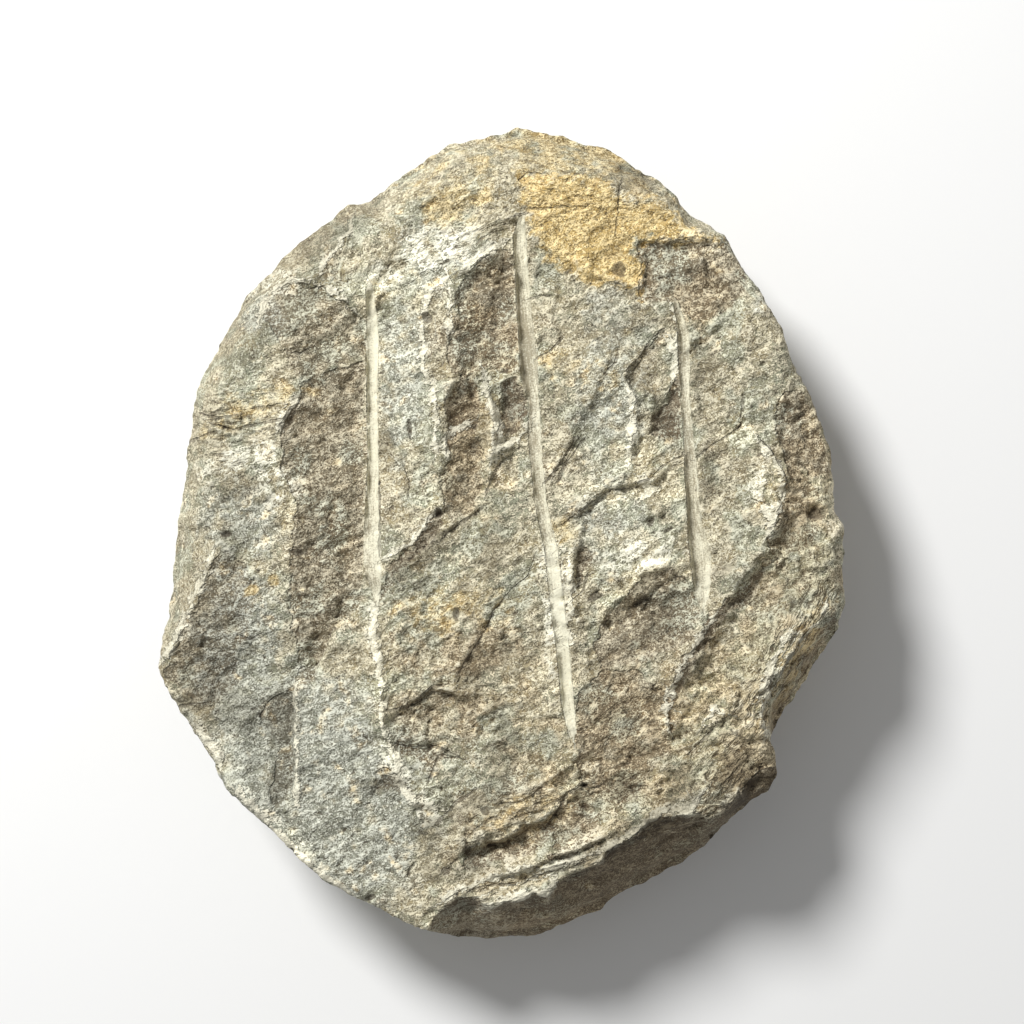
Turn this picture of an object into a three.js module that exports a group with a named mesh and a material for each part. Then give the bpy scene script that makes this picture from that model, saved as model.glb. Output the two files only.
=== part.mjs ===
// A rough slab of limestone, the matrix that a fossil is cut from. It lies flat, as broken from the bed:
// one natural piece, with stepped and splintered bedding on its upper face and three saw kerfs across it.
// Millimetres, +Z up, X across the slab and Y along it. The origin is on the ground under its middle.

import * as THREE from 'three';
import { ConvexHull } from 'three/addons/math/ConvexHull.js';
import { ImprovedNoise } from 'three/addons/math/ImprovedNoise.js';

// Driving dimensions
const THICKNESS = 33; // ground to the middle of the upper face
const DOME = 3.2; // how much lower the upper face lies at the slab's ends than in the middle
const DOME_REACH = 80; // distance from the middle at which it is lower by that much
const KERF_WIDTH = 2.4; // width of the diamond blade's cut
const KERF_FLOOR = 1.8; // width of the cut at its floor
const FADES = [6, 6]; // length over which a ledge grows from its start, and dies out to its end

// Spacing of the facets' corners
const EDGE_STEP = 3.4;
const LINE_STEP = 2.4; // along the kerfs and ledges
const FACE_STEP = 2.8;
const UNDERSIDE_STEP = 8;
const SCATTER = 0.5; // how far a corner strays from its even place, as a share of the spacing
const BEVEL_ROOM = 1.1; // what is kept clear round the corners of the bevel
const LINE_ROOM = 1.7; // what is kept clear round a line's corners, so that no facet crosses the line
const SLIVER = 1e-3; // a facet of less area, in square millimetres, is only its corners in a row
const BEVEL_ROWS = [0.4, 1]; // shares of the bevel's width where it has rows of corners

// Roughness: how high and how wide the lumps are
const LUMPS = { height: 0.75, width: 9 };
const HACKLES = { height: 0.5, width: 3.3 };
const FLANK_LUMPS = { height: 3.2, width: 16 };
const SPALLS = { height: 9, width: 27 }; // shallow hollows under the slab, between the flats it rests on
const SPALL_SLICE = 30; // level of the noise at which flats lie under every quarter of the slab

// The slab seen from above, clockwise from its top: x, y, and the width and drop of the broken bevel there
const OUTLINE = [
  [3.7, 80.8, 10, 9], [11.7, 79.2, 10, 9], [21.7, 76.4, 9, 9], [26.9, 73, 7, 7], [33.3, 69, 5, 5],
  [37.7, 63.6, 4, 4], [44.7, 59.8, 4, 4], [47.3, 54.2, 4, 3], [50.9, 49.4, 4, 3], [55.7, 41.4, 4, 3],
  [59.1, 32.2, 4, 3], [61.9, 27.2, 4, 4], [65.5, 16.8, 4, 5], [66.7, 4.2, 4, 4], [68.3, 0.6, 3, 3],
  [68.1, -8.4, 3, 3], [68.7, -13.8, 3, 3], [67.5, -18.8, 3, 3], [62.7, -25.6, 3, 3], [58.1, -33.2, 3, 3],
  [56.1, -35.6, 3, 3], [53.9, -41, 3, 3], [54.9, -47.6, 3, 3], [53.3, -51.2, 3, 3], [47.3, -55.2, 3, 3],
  [42.1, -61, 3, 3], [37.1, -65.2, 3, 3], [23.1, -72.2, 3, 3], [19.7, -75.2, 3, 3], [6.7, -80.4, 3, 3],
  [1.7, -80.8, 3, 3], [-8.7, -80.8, 3, 3], [-17.3, -79, 3, 2], [-31.3, -71.6, 2.5, 1.5],
  [-35.9, -69.6, 2.5, 1.5], [-47.9, -57.8, 2.5, 1.5], [-54.7, -51, 2.5, 1.5], [-58.7, -43.8, 3, 2],
  [-65.9, -33, 3, 2], [-68.7, -27, 3, 2], [-67.5, -19.8, 4, 3], [-65.7, -13, 5, 4], [-65.3, -4.4, 5, 4],
  [-63.7, 7.2, 6, 5], [-61.1, 28.2, 6, 5], [-55.9, 38.6, 7, 6], [-50.9, 47.2, 7, 6], [-40.3, 58, 7, 6],
  [-30.7, 65.4, 7, 6], [-26.1, 66.6, 7, 7], [-16.7, 73.4, 8, 8], [-10.3, 77.6, 9, 8], [-2.7, 79, 10, 9],
];

// Ledges, ribs and scarps of the bedding. Each has its line, and its section across that line as pairs of
// distance to the right of the line and height over the face; the last height holds beyond the section.
// Where its ends aren't as FADES says, it has fades of its own.
const LEDGES = {
  bottomScarp: {
    line: [[-13.5, -77], [-11.5, -73.4], [-6.7, -71.8], [9.3, -71], [14.7, -67], [25.3, -60.2], [33.3, -55],
      [37.7, -55.4], [42.1, -53.4], [45.7, -48.4], [53.3, -41.8]],
    section: [[-12, 0], [0, 1.2], [10, -9], [16, -14]],
    fades: [22, 6],
  },
  rightMargin: {
    line: [[50.1, -41.8], [51.7, -37], [51.3, -33.4], [56.9, -24.2], [60.3, -19], [67.3, -14.6]],
    section: [[-10, 0], [0, 1.4], [3, -3], [8, -8]],
  },
  leftBevel: {
    line: [[-67.7, -27], [-62.3, -18.4], [-57.9, -8.4], [-54.7, 0.6]],
    section: [[-9, -4], [0, 1.6], [12, -1], [22, 0]],
  },
  rightLedge: {
    line: [[33.3, -33.8], [34.3, -29.4], [40.1, -19.8], [47.3, -8.8], [54.3, 1], [56.7, 11], [51.1, 20.2]],
    section: [[-14, 0], [0, 2], [4.5, -1.6], [13, 0]],
    fades: [6, 26],
  },
  leftRib: {
    line: [[-38.1, -27.8], [-41.1, -6.4], [-40.1, 5.6], [-43.5, 21.6], [-39.5, 31.6], [-41.1, 39.6],
      [-39.9, 49]],
    section: [[-20, 0], [0, 3.4], [13, -1.2], [24, 0]],
    fades: [20, 10],
  },
  leftCentreRib: {
    line: [[-23.5, -13.4], [-16.7, -2.4], [-12.3, 6], [-12.1, 20.6], [-9.1, 34.2], [-9.1, 46.6],
      [-6.3, 52.2], [2.1, 58]],
    section: [[-13, 0], [0, 3], [1, 1.7], [8, -0.9], [15, 0]],
  },
  smallRib: {
    line: [[-2.9, 6.6], [-1.5, 18.6], [-1.9, 25.6], [-3.1, 31]],
    section: [[-3, 0], [0, 2], [0.8, 0.8], [4, -0.8], [8, 0]],
  },
  middleFold: {
    line: [[8.7, 10.2], [12.9, 17], [16.7, 24.6], [19.9, 32.2], [24.1, 40.6]],
    section: [[-9, 0], [0, 0.9], [0.8, 0], [5, -0.5], [11, 0]],
  },
  rightRib: {
    line: [[26.5, 13.8], [26.3, 26.2], [24.1, 31], [27.9, 36], [32.1, 40]],
    section: [[-10, 0], [0, 1.8], [0.8, 0.8], [8, -0.8], [12, 0]],
  },
  ochreEdge: {
    line: [[-4.7, 61], [3.3, 62.8], [6.9, 58], [17.7, 51.2], [27.7, 48.2], [28.5, 54.2], [26.9, 58],
      [46.3, 58]],
    section: [[-12, 0], [0, 0.9], [0.6, -0.1], [9, -1.2], [22, 0]],
  },
  upperLeftLip: {
    line: [[-47.9, 47.4], [-43.3, 50], [-36.7, 50.6], [-31.3, 58.6], [-30.3, 62.2]],
    section: [[-4, 0], [0, 0.8], [0.7, -0.4], [6, 0]],
  },
  overhangLedge: {
    line: [[-9.3, -64.6], [-7.3, -62.6], [0.9, -60.6], [4.1, -57.6], [8.7, -56.2], [15.7, -49.8],
      [19.7, -49]],
    section: [[-10, 0], [0, 1.6], [0.6, -1.8], [6, -0.8], [12, 0]],
    fades: [4, 20],
  },
  lowerLip: {
    line: [[-6.3, -69], [3.7, -66.6], [11.7, -63.4], [23.7, -58.4]],
    section: [[-2.5, 0], [0, 0.9], [0.6, -0.6], [4, 0]],
  },
  centreLedge: {
    line: [[-22.7, -41.8], [-23.3, -36.6], [-16.1, -32.2], [-13.5, -29.8], [-4.3, -33.4]],
    section: [[-8, 0], [0, 1.4], [0.8, -1.2], [9, 0]],
  },
  plateEdge: {
    line: [[-41.1, -54.4], [-40.9, -30.2], [-37.5, -29.8], [-33.5, -20.4], [-26.7, -13.4]],
    section: [[-10, 0], [-0.5, -1.3], [0.2, 0.5], [14, 0]],
  },
  centreStep: {
    line: [[14.9, -14.2], [13.9, -8.4], [14.3, -3], [17.7, -0.4]],
    section: [[-3, 0], [0, 1], [0.7, -0.9], [7, 0]],
  },
  jointStep: {
    line: [[12.7, 1.6], [20.3, 8.6], [30.3, 11], [35.7, 15.6]],
    section: [[-6, 0], [0, 0.9], [0.7, -0.5], [7, 0]],
  },
  whiteHump: {
    line: [[24.1, -14.6], [27.7, -9], [32.7, -5.4], [36.5, -2.4]],
    section: [[-12, 0], [0, 1.6], [8, -0.9], [15, 0]],
  },
  crackStep: {
    line: [[-9.3, -32.8], [-8.7, -28.4], [-4.3, -19], [-1.9, -14.2], [2.7, -11]],
    section: [[-7, 0], [0, 0.8], [0.5, -0.4], [9, -0.5], [16, 0]],
  },
  whiteCrest: {
    line: [[-13.9, -57], [-20.3, -47.8], [-23.5, -37.4], [-23.9, -29.4], [-25.7, -14.6]],
    section: [[-3, 0], [0, 0.9], [2.5, 0]],
  },
};

// Hollows plucked out between the ledges: middle, half length, half width, bearing in degrees, depth
const HOLLOWS = [
  [-8.5, 22.2, 9.5, 3.2, 90, 1.4],
  [1.3, 25.2, 6.5, 2.3, 90, 1.5],
  [-2.7, 50.6, 6, 5, 0, 1.2],
  [-4.7, 38.2, 8, 4.5, 0, 0.8],
  [32.1, 23, 6.5, 3.3, 90, 1.6],
  [60.5, 19.6, 9, 5, 100, 2.2],
  [62.1, 4, 3.5, 2, 60, 1.6],
  [28.1, -15, 11, 8, 20, 2.4],
  [-14.3, -37.4, 8, 4, 10, 1.6],
  [-15.5, -42.4, 8, 2.4, 8, 1],
  [-2.3, -62.4, 8, 2.6, 18, 1.8],
  [-47.3, -43.4, 12, 5, 90, 1.6],
];

// The three saw kerfs: x, y and depth along each, running out to nothing at both ends
const KERFS = {
  left: [[-26.3, 48.6, 0], [-25.9, 40.6, 1.5], [-25.7, 26.6, 1.3], [-25.5, 12.6, 1.2], [-25.5, -1.4, 1.8],
    [-25.1, -7.4, 1.7], [-24.9, -13.8, 0]],
  middle: [[3.3, 61, 0], [3.9, 53.6, 1.6], [4.7, 42.6, 1.7], [5.7, 32.6, 1.9], [6.7, 22.6, 1.1],
    [7.1, 14.6, 1.2], [7.9, 4.6, 1.2], [9.3, -3.4, 1.6], [10.5, -13.4, 1.3], [11.5, -23.4, 1],
    [12.7, -33.4, 1.3], [13.5, -39.8, 0]],
  right: [[34.9, 46.2, 0], [35.9, 39.6, 1.4], [36.7, 26.6, 1], [37.3, 14.6, 1.2], [38.1, 2.6, 1.7],
    [39.1, -6.4, 2], [39.9, -15, 0]],
};

// The flank below the rim, one bed over another: share of the rim's height, and inset from it
const FLANK = [[0.88, 0.7], [0.72, 1], [0.66, 2.6], [0.45, 2], [0.38, 4], [0.14, 5.6]];
const UNDER_EDGE = { inset: 8.5, height: 1.3 };

const { clamp, lerp, smoothstep, seededRandom, degToRad } = THREE.MathUtils;
const perlin = new ImprovedNoise();

function roughness(x, y, z, { height, width }) {
  return height * perlin.noise(x / width, y / width, z / width);
}

const TIE = 1e-9; // two segments that meet at the nearest place are as near as this

// Nearest place on a line: how far along it, how far to its right, and which segment
function nearestOn(line, x, y) {
  let best = { distance: Infinity };
  let passed = 0;
  for (let i = 0; i + 1 < line.length; i++) {
    const [ax, ay] = line[i];
    const [bx, by] = line[i + 1];
    const length = Math.hypot(bx - ax, by - ay);
    const ux = (bx - ax) / length;
    const uy = (by - ay) / length;
    const along = clamp((x - ax) * ux + (y - ay) * uy, 0, length);
    const distance = Math.hypot(x - ax - ux * along, y - ay - uy * along);
    const across = (x - ax) * uy - (y - ay) * ux;
    const tied = Math.abs(distance - best.distance) < TIE && Math.abs(across) > Math.abs(best.across);
    if (distance < best.distance - TIE || tied) {
      best = { distance, across, along: passed + along, segment: i, share: along / length };
    }
    passed += length;
  }
  best.right = Math.sign(best.across) * best.distance;
  best.toEnd = passed - best.along;
  return best;
}

function heightInSection(section, distance) {
  if (distance <= section[0][0]) return section[0][1];
  for (let i = 0; i + 1 < section.length; i++) {
    const [fromDistance, fromHeight] = section[i];
    const [toDistance, toHeight] = section[i + 1];
    if (distance <= toDistance) {
      return lerp(fromHeight, toHeight, (distance - fromDistance) / (toDistance - fromDistance));
    }
  }
  return section.at(-1)[1];
}

function hollowDepth([x0, y0, halfLength, halfWidth, bearing, depth], x, y) {
  const turn = degToRad(bearing);
  const along = (x - x0) * Math.cos(turn) + (y - y0) * Math.sin(turn);
  const across = (y - y0) * Math.cos(turn) - (x - x0) * Math.sin(turn);
  const from = Math.hypot(along / halfLength, across / halfWidth);
  return from < 1 ? depth * (1 - from * from) ** 2 : 0;
}

const closedOutline = [...OUTLINE, OUTLINE[0]];

function upperFace(x, y) {
  let height = THICKNESS - DOME * (x * x + y * y) / (DOME_REACH * DOME_REACH);
  for (const { line, section, fades = FADES } of Object.values(LEDGES)) {
    const near = nearestOn(line, x, y);
    const strength = smoothstep(near.along, 0, fades[0]) * smoothstep(near.toEnd, 0, fades[1]);
    height += heightInSection(section, near.right) * strength;
  }
  for (const hollow of HOLLOWS) height -= hollowDepth(hollow, x, y);
  height += roughness(x, y, 0, LUMPS) + roughness(x, y, 9, HACKLES);
  const edge = nearestOn(closedOutline, x, y);
  const [from, to] = [closedOutline[edge.segment], closedOutline[edge.segment + 1]];
  const out = clamp(1 - edge.distance / lerp(from[2], to[2], edge.share), 0, 1);
  return height - lerp(from[3], to[3], edge.share) * out * out;
}

// Corners of the facets, as x, y, z
const corners = [];
const triangles = [];

function addCorner(x, y, z) {
  return corners.push([x, y, z]) - 1;
}

function clearOfCorners(x, y, room, from = 0) {
  for (let i = from; i < corners.length; i++) {
    if (Math.hypot(corners[i][0] - x, corners[i][1] - y) < room) return false;
  }
  return true;
}

// Stations along a line, each with the direction to its right
function stations(line, step, closed = false) {
  const list = [];
  const last = line.length - 1;
  for (let i = 0; i < last; i++) {
    const [from, to] = [line[i], line[i + 1]];
    const length = Math.hypot(to[0] - from[0], to[1] - from[1]);
    const count = Math.max(1, Math.round(length / step));
    for (let k = 0; k < count; k++) {
      list.push(from.map((value, axis) => lerp(value, to[axis], k / count)));
    }
  }
  if (!closed) list.push(line[last]);
  return list.map((place, i) => {
    const before = list[i - 1] ?? (closed ? list.at(-1) : place);
    const after = list[i + 1] ?? (closed ? list[0] : place);
    const length = Math.hypot(after[0] - before[0], after[1] - before[1]);
    return { place, right: [(after[1] - before[1]) / length, (before[0] - after[0]) / length] };
  });
}

function insideOf(closedLine) {
  return (x, y) => nearestOn(closedLine, x, y).right > 0;
}

const insideOutline = insideOf(closedOutline);

// Delaunay triangles of some corners seen from above: the lower hull of the corners raised to a paraboloid
function joinCorners(indices, keep) {
  const raised = new Map();
  for (const index of indices) {
    const [x, y] = corners[index];
    raised.set(new THREE.Vector3(x, y, x * x + y * y), index);
  }
  const joined = [];
  for (const face of new ConvexHull().setFromPoints([...raised.keys()]).faces) {
    if (face.normal.z >= 0) continue;
    const facet = [0, 1, 2].map((side) => raised.get(face.getEdge(side).head().point));
    const [a, b, c] = facet.map((index) => corners[index]);
    const area = Math.abs((b[0] - a[0]) * (c[1] - a[1]) - (c[0] - a[0]) * (b[1] - a[1])) / 2;
    if (area > SLIVER && keep((a[0] + b[0] + c[0]) / 3, (a[1] + b[1] + c[1]) / 3)) joined.push(facet);
  }
  return joined;
}

// Upper face: the rim and its bevel, then the kerfs, the ledges and the broken face between them
const rim = stations(closedOutline, EDGE_STEP, true);
const rimRow = rim.map(({ place: [x, y] }) => addCorner(x, y, upperFace(x, y)));
for (const share of BEVEL_ROWS) {
  for (const { place: [x, y, bevel], right } of rim) {
    const inX = x + right[0] * bevel * share;
    const inY = y + right[1] * bevel * share;
    if (clearOfCorners(inX, inY, BEVEL_ROOM)) addCorner(inX, inY, upperFace(inX, inY));
  }
}

for (const kerf of Object.values(KERFS)) {
  for (const { place: [x, y, depth], right } of stations(kerf, LINE_STEP)) {
    const section = [[-KERF_WIDTH, 0], [-KERF_FLOOR, depth], [KERF_FLOOR, depth], [KERF_WIDTH, 0]];
    for (const [across, cut] of section) {
      const cutX = x + right[0] * across / 2;
      const cutY = y + right[1] * across / 2;
      addCorner(cutX, cutY, upperFace(cutX, cutY) - cut);
    }
  }
}

const CREST = 2; // the breaks of a section that are this near to its line get corners of their own
for (const { line, section } of Object.values(LEDGES)) {
  const breaks = section.map(([distance]) => distance).filter((distance) => Math.abs(distance) < CREST);
  for (const { place: [x, y], right } of stations(line, LINE_STEP)) {
    const row = breaks.map((distance) => [x + right[0] * distance, y + right[1] * distance]);
    const free = row.every((place) => clearOfCorners(...place, LINE_ROOM) && insideOutline(...place));
    if (free) row.forEach((place) => addCorner(...place, upperFace(...place)));
  }
}

// Places in staggered rows over the whole slab, each a little off its even place
function scattered(step) {
  const places = [];
  const rowStep = step * Math.sqrt(3) / 2;
  for (let y = -81, odd = 0; y < 81; y += rowStep, odd = 1 - odd) {
    for (let x = -69 + odd * step / 2; x < 69; x += step) {
      places.push([x, y].map((value) => value + (seededRandom() - 0.5) * step * SCATTER));
    }
  }
  return places;
}

seededRandom(7);
for (const place of scattered(FACE_STEP)) {
  const free = insideOutline(...place) && clearOfCorners(...place, LINE_ROOM);
  if (free) addCorner(...place, upperFace(...place));
}
for (const [a, b, c] of joinCorners([...corners.keys()], insideOutline)) triangles.push([a, c, b]);

// Flank: rows of corners below the rim, tucked in towards the ground, with other lumps on each bed
const BED_SHIFT = 40;
let rowAbove = rimRow;
function addRow(share, inset) {
  const row = rimRow.map((index) => {
    const [x, y, z] = corners[index];
    const reach = Math.hypot(x, y);
    const lump = Math.abs(roughness(x, y, BED_SHIFT * inset, FLANK_LUMPS));
    const shrink = 1 - (inset + lump) / reach;
    return addCorner(x * shrink, y * shrink, z * share);
  });
  row.forEach((index, i) => {
    const next = (i + 1) % row.length;
    triangles.push([rowAbove[i], rowAbove[next], row[next]], [rowAbove[i], row[next], index]);
  });
  rowAbove = row;
}
for (const [share, inset] of FLANK) addRow(share, inset);
addRow(UNDER_EDGE.height / THICKNESS, UNDER_EDGE.inset);

// Underside: flats on the ground, with shallow spalls between them
const underside = [...rowAbove];
for (const place of scattered(UNDERSIDE_STEP)) {
  const room = nearestOn(closedOutline, ...place).right - UNDER_EDGE.inset;
  if (room > UNDERSIDE_STEP / 2 && clearOfCorners(...place, UNDERSIDE_STEP / 2, rowAbove[0])) {
    underside.push(addCorner(...place, Math.max(0, roughness(...place, SPALL_SLICE, SPALLS))));
  }
}
const underEdge = rowAbove.map((index) => corners[index]);
triangles.push(...joinCorners(underside, insideOf([...underEdge, underEdge[0]])));

const geometry = new THREE.BufferGeometry();
geometry.setAttribute('position', new THREE.Float32BufferAttribute(corners.flat(), 3));
geometry.setIndex(triangles.flat());
geometry.computeVertexNormals();

const limestone = new THREE.MeshStandardMaterial({ color: 0x9c9684, roughness: 0.95, metalness: 0 });
const slab = new THREE.Mesh(geometry, limestone);
slab.name = 'stone_slab';

const group = new THREE.Group();
group.add(slab);

export default group;
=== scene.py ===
import math

import bmesh
import bpy
import numpy as np
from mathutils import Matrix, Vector, geometry, noise


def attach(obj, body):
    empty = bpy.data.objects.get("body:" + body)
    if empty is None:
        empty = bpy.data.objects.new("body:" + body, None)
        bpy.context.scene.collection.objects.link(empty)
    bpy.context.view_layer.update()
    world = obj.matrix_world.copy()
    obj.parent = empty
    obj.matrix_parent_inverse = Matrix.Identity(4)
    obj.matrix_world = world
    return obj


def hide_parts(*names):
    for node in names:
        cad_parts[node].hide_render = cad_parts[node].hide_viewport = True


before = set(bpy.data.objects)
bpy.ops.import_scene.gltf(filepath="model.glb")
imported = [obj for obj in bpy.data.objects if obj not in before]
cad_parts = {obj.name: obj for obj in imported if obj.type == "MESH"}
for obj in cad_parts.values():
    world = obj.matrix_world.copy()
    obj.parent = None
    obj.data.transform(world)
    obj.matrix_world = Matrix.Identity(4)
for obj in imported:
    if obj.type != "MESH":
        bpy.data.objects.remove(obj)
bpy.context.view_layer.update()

# ---------------------------------------------------------------------------------------------------------
# The slab: one piece of thin-bedded limestone, the matrix a fossil lies in. It was broken from the bed, so
# its upper face is stepped and splintered, its flank shows the beds, and it rests on flats of its lower bed.
# ---------------------------------------------------------------------------------------------------------

# All the slab's sizes are millimetres until its mesh is made. A bearing is in degrees, from x towards y.
MM = 0.001
thickness = 33.0
dome = 3.2  # how much lower the upper face lies at the slab's ends than in the middle
dome_reach = 80.0
fabric_bearing = 28.0  # the rock's splinters rise to the right at this angle

# Seen from above, clockwise from the top: x, y, and the width and drop of the broken bevel there
outline = np.array([
    [3.7, 80.8, 10, 9], [11.7, 79.2, 10, 9], [21.7, 76.4, 9, 9], [26.9, 73, 7, 7], [33.3, 69, 5, 5],
    [37.7, 63.6, 4, 4], [44.7, 59.8, 4, 4], [47.3, 54.2, 4, 3], [50.9, 49.4, 4, 3], [55.7, 41.4, 4, 3],
    [59.1, 32.2, 4, 3], [61.9, 27.2, 4, 4], [65.5, 16.8, 4, 5], [66.7, 4.2, 4, 4], [68.3, 0.6, 3, 3],
    [68.1, -8.4, 3, 3], [68.7, -13.8, 3, 3], [67.5, -18.8, 3, 3], [62.7, -25.6, 3, 3], [58.1, -33.2, 3, 3],
    [56.1, -35.6, 3, 3], [53.9, -41, 3, 3], [54.9, -47.6, 3, 3], [53.3, -51.2, 3, 3], [47.3, -55.2, 3, 3],
    [42.1, -61, 3, 3], [37.1, -65.2, 3, 3], [23.1, -72.2, 3, 3], [19.7, -75.2, 3, 3], [6.7, -80.4, 3, 3],
    [1.7, -80.8, 3, 3], [-8.7, -80.8, 3, 3], [-17.3, -79, 3, 2], [-31.3, -71.6, 2.5, 1.5],
    [-35.9, -69.6, 2.5, 1.5], [-47.9, -57.8, 2.5, 1.5], [-54.7, -51, 2.5, 1.5], [-58.7, -43.8, 3, 2],
    [-65.9, -33, 3, 2], [-68.7, -27, 3, 2], [-67.5, -19.8, 4, 3], [-65.7, -13, 5, 4], [-65.3, -4.4, 5, 4],
    [-63.7, 7.2, 6, 5], [-61.1, 28.2, 6, 5], [-55.9, 38.6, 7, 6], [-50.9, 47.2, 7, 6], [-40.3, 58, 7, 6],
    [-30.7, 65.4, 7, 6], [-26.1, 66.6, 7, 7], [-16.7, 73.4, 8, 8], [-10.3, 77.6, 9, 8], [-2.7, 79, 10, 9],
])


def smooth(share):
    """0 below 0, 1 above 1, and eased between them."""
    share = np.clip(share, 0, 1)
    return share * share * (3 - 2 * share)


def nearest_on(line, x, y):
    """How far to the right of a line each place is, how far along it and from its end, and what the line's
    further columns say there."""
    line = np.asarray(line, float)
    distance, across, along = np.full(x.shape, np.inf), np.zeros(x.shape), np.zeros(x.shape)
    carried = np.zeros((line.shape[1] - 2, *x.shape))
    passed = 0.0
    hair = 1e-9
    for start, end in zip(line[:-1], line[1:]):
        length = math.hypot(*(end - start)[:2])
        ux, uy = (end - start)[:2] / length
        dx, dy = x - start[0], y - start[1]
        here = np.clip(dx * ux + dy * uy, 0, length)
        off = np.hypot(dx - ux * here, dy - uy * here)
        side = dx * uy - dy * ux
        # Past a corner both legs are as near, and the one that lies more to the side tells right from left
        tied = abs(off - distance) < hair
        nearer = (off < distance - hair) | (tied & (abs(side) > abs(across)))
        distance = np.where(nearer, off, distance)
        across = np.where(nearer, side, across)
        along = np.where(nearer, passed + here, along)
        for column, (first, last) in enumerate(zip(start[2:], end[2:])):
            carried[column] = np.where(nearer, first + (last - first) * here / length, carried[column])
        passed += length
    return np.sign(across) * distance, along, passed - along, carried


def inside_of(loop, x, y):
    """How far inside a loop of corners each place is, whichever way round the loop runs."""
    loop = np.asarray(loop, float)
    ahead = np.roll(loop, -1, axis=0)
    clockwise = np.sign((ahead[:, 0] * loop[:, 1] - loop[:, 0] * ahead[:, 1]).sum())
    return clockwise * nearest_on(np.vstack([loop, loop[:1]]), x, y)[0]


def turned(x, y, bearing):
    """Places along and across a direction."""
    turn = math.radians(bearing)
    return x * math.cos(turn) + y * math.sin(turn), y * math.cos(turn) - x * math.sin(turn)


def across_oval(oval, x, y):
    """Places along and across an oval, in its half lengths and half widths."""
    x0, y0, half_length, half_width, bearing = oval
    along, across = turned(x - x0, y - y0, bearing)
    return along / half_length, across / half_width


def in_fabric(x, y, width, stretch, level):
    """Places in the rock's fabric, in lumps of this width drawn out along it. Each level is another cut."""
    u, v = turned(x, y, fabric_bearing)
    return np.stack([u / stretch, v, level + 0 * x], axis=-1) / width


def lumps(x, y, width, stretch=1.0, level=0.0):
    """Soft noise from about -1 to 1."""
    return np.array([noise.noise(place) for place in in_fabric(x, y, width, stretch, level)])


def ridges(x, y, width, stretch=1.0, level=0.0):
    """Sharp-crested noise, 1 on its crests and falling away from them."""
    return 1 - 2.2 * abs(lumps(x, y, width, stretch, level))


def splinters(x, y, width, stretch, level=0.0):
    """Broken facets from about -1 to 1: each cell of the rock has a tilt of its own."""
    heights = []
    for place in in_fabric(x, y, width, stretch, level):
        centre = noise.voronoi(place)[1][0]
        tilt = noise.cell_vector(centre * 7.3)
        heights.append(tilt.dot(Vector(place) - centre) * 2 + tilt.z * 0.5)
    return np.array(heights)


def layered(layers, x, y):
    """Kinds of noise laid over each other: each has a height, a kind, a width, a stretch and a level."""
    return sum(height * kind(x, y, *shape) for height, kind, *shape in layers)


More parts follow.
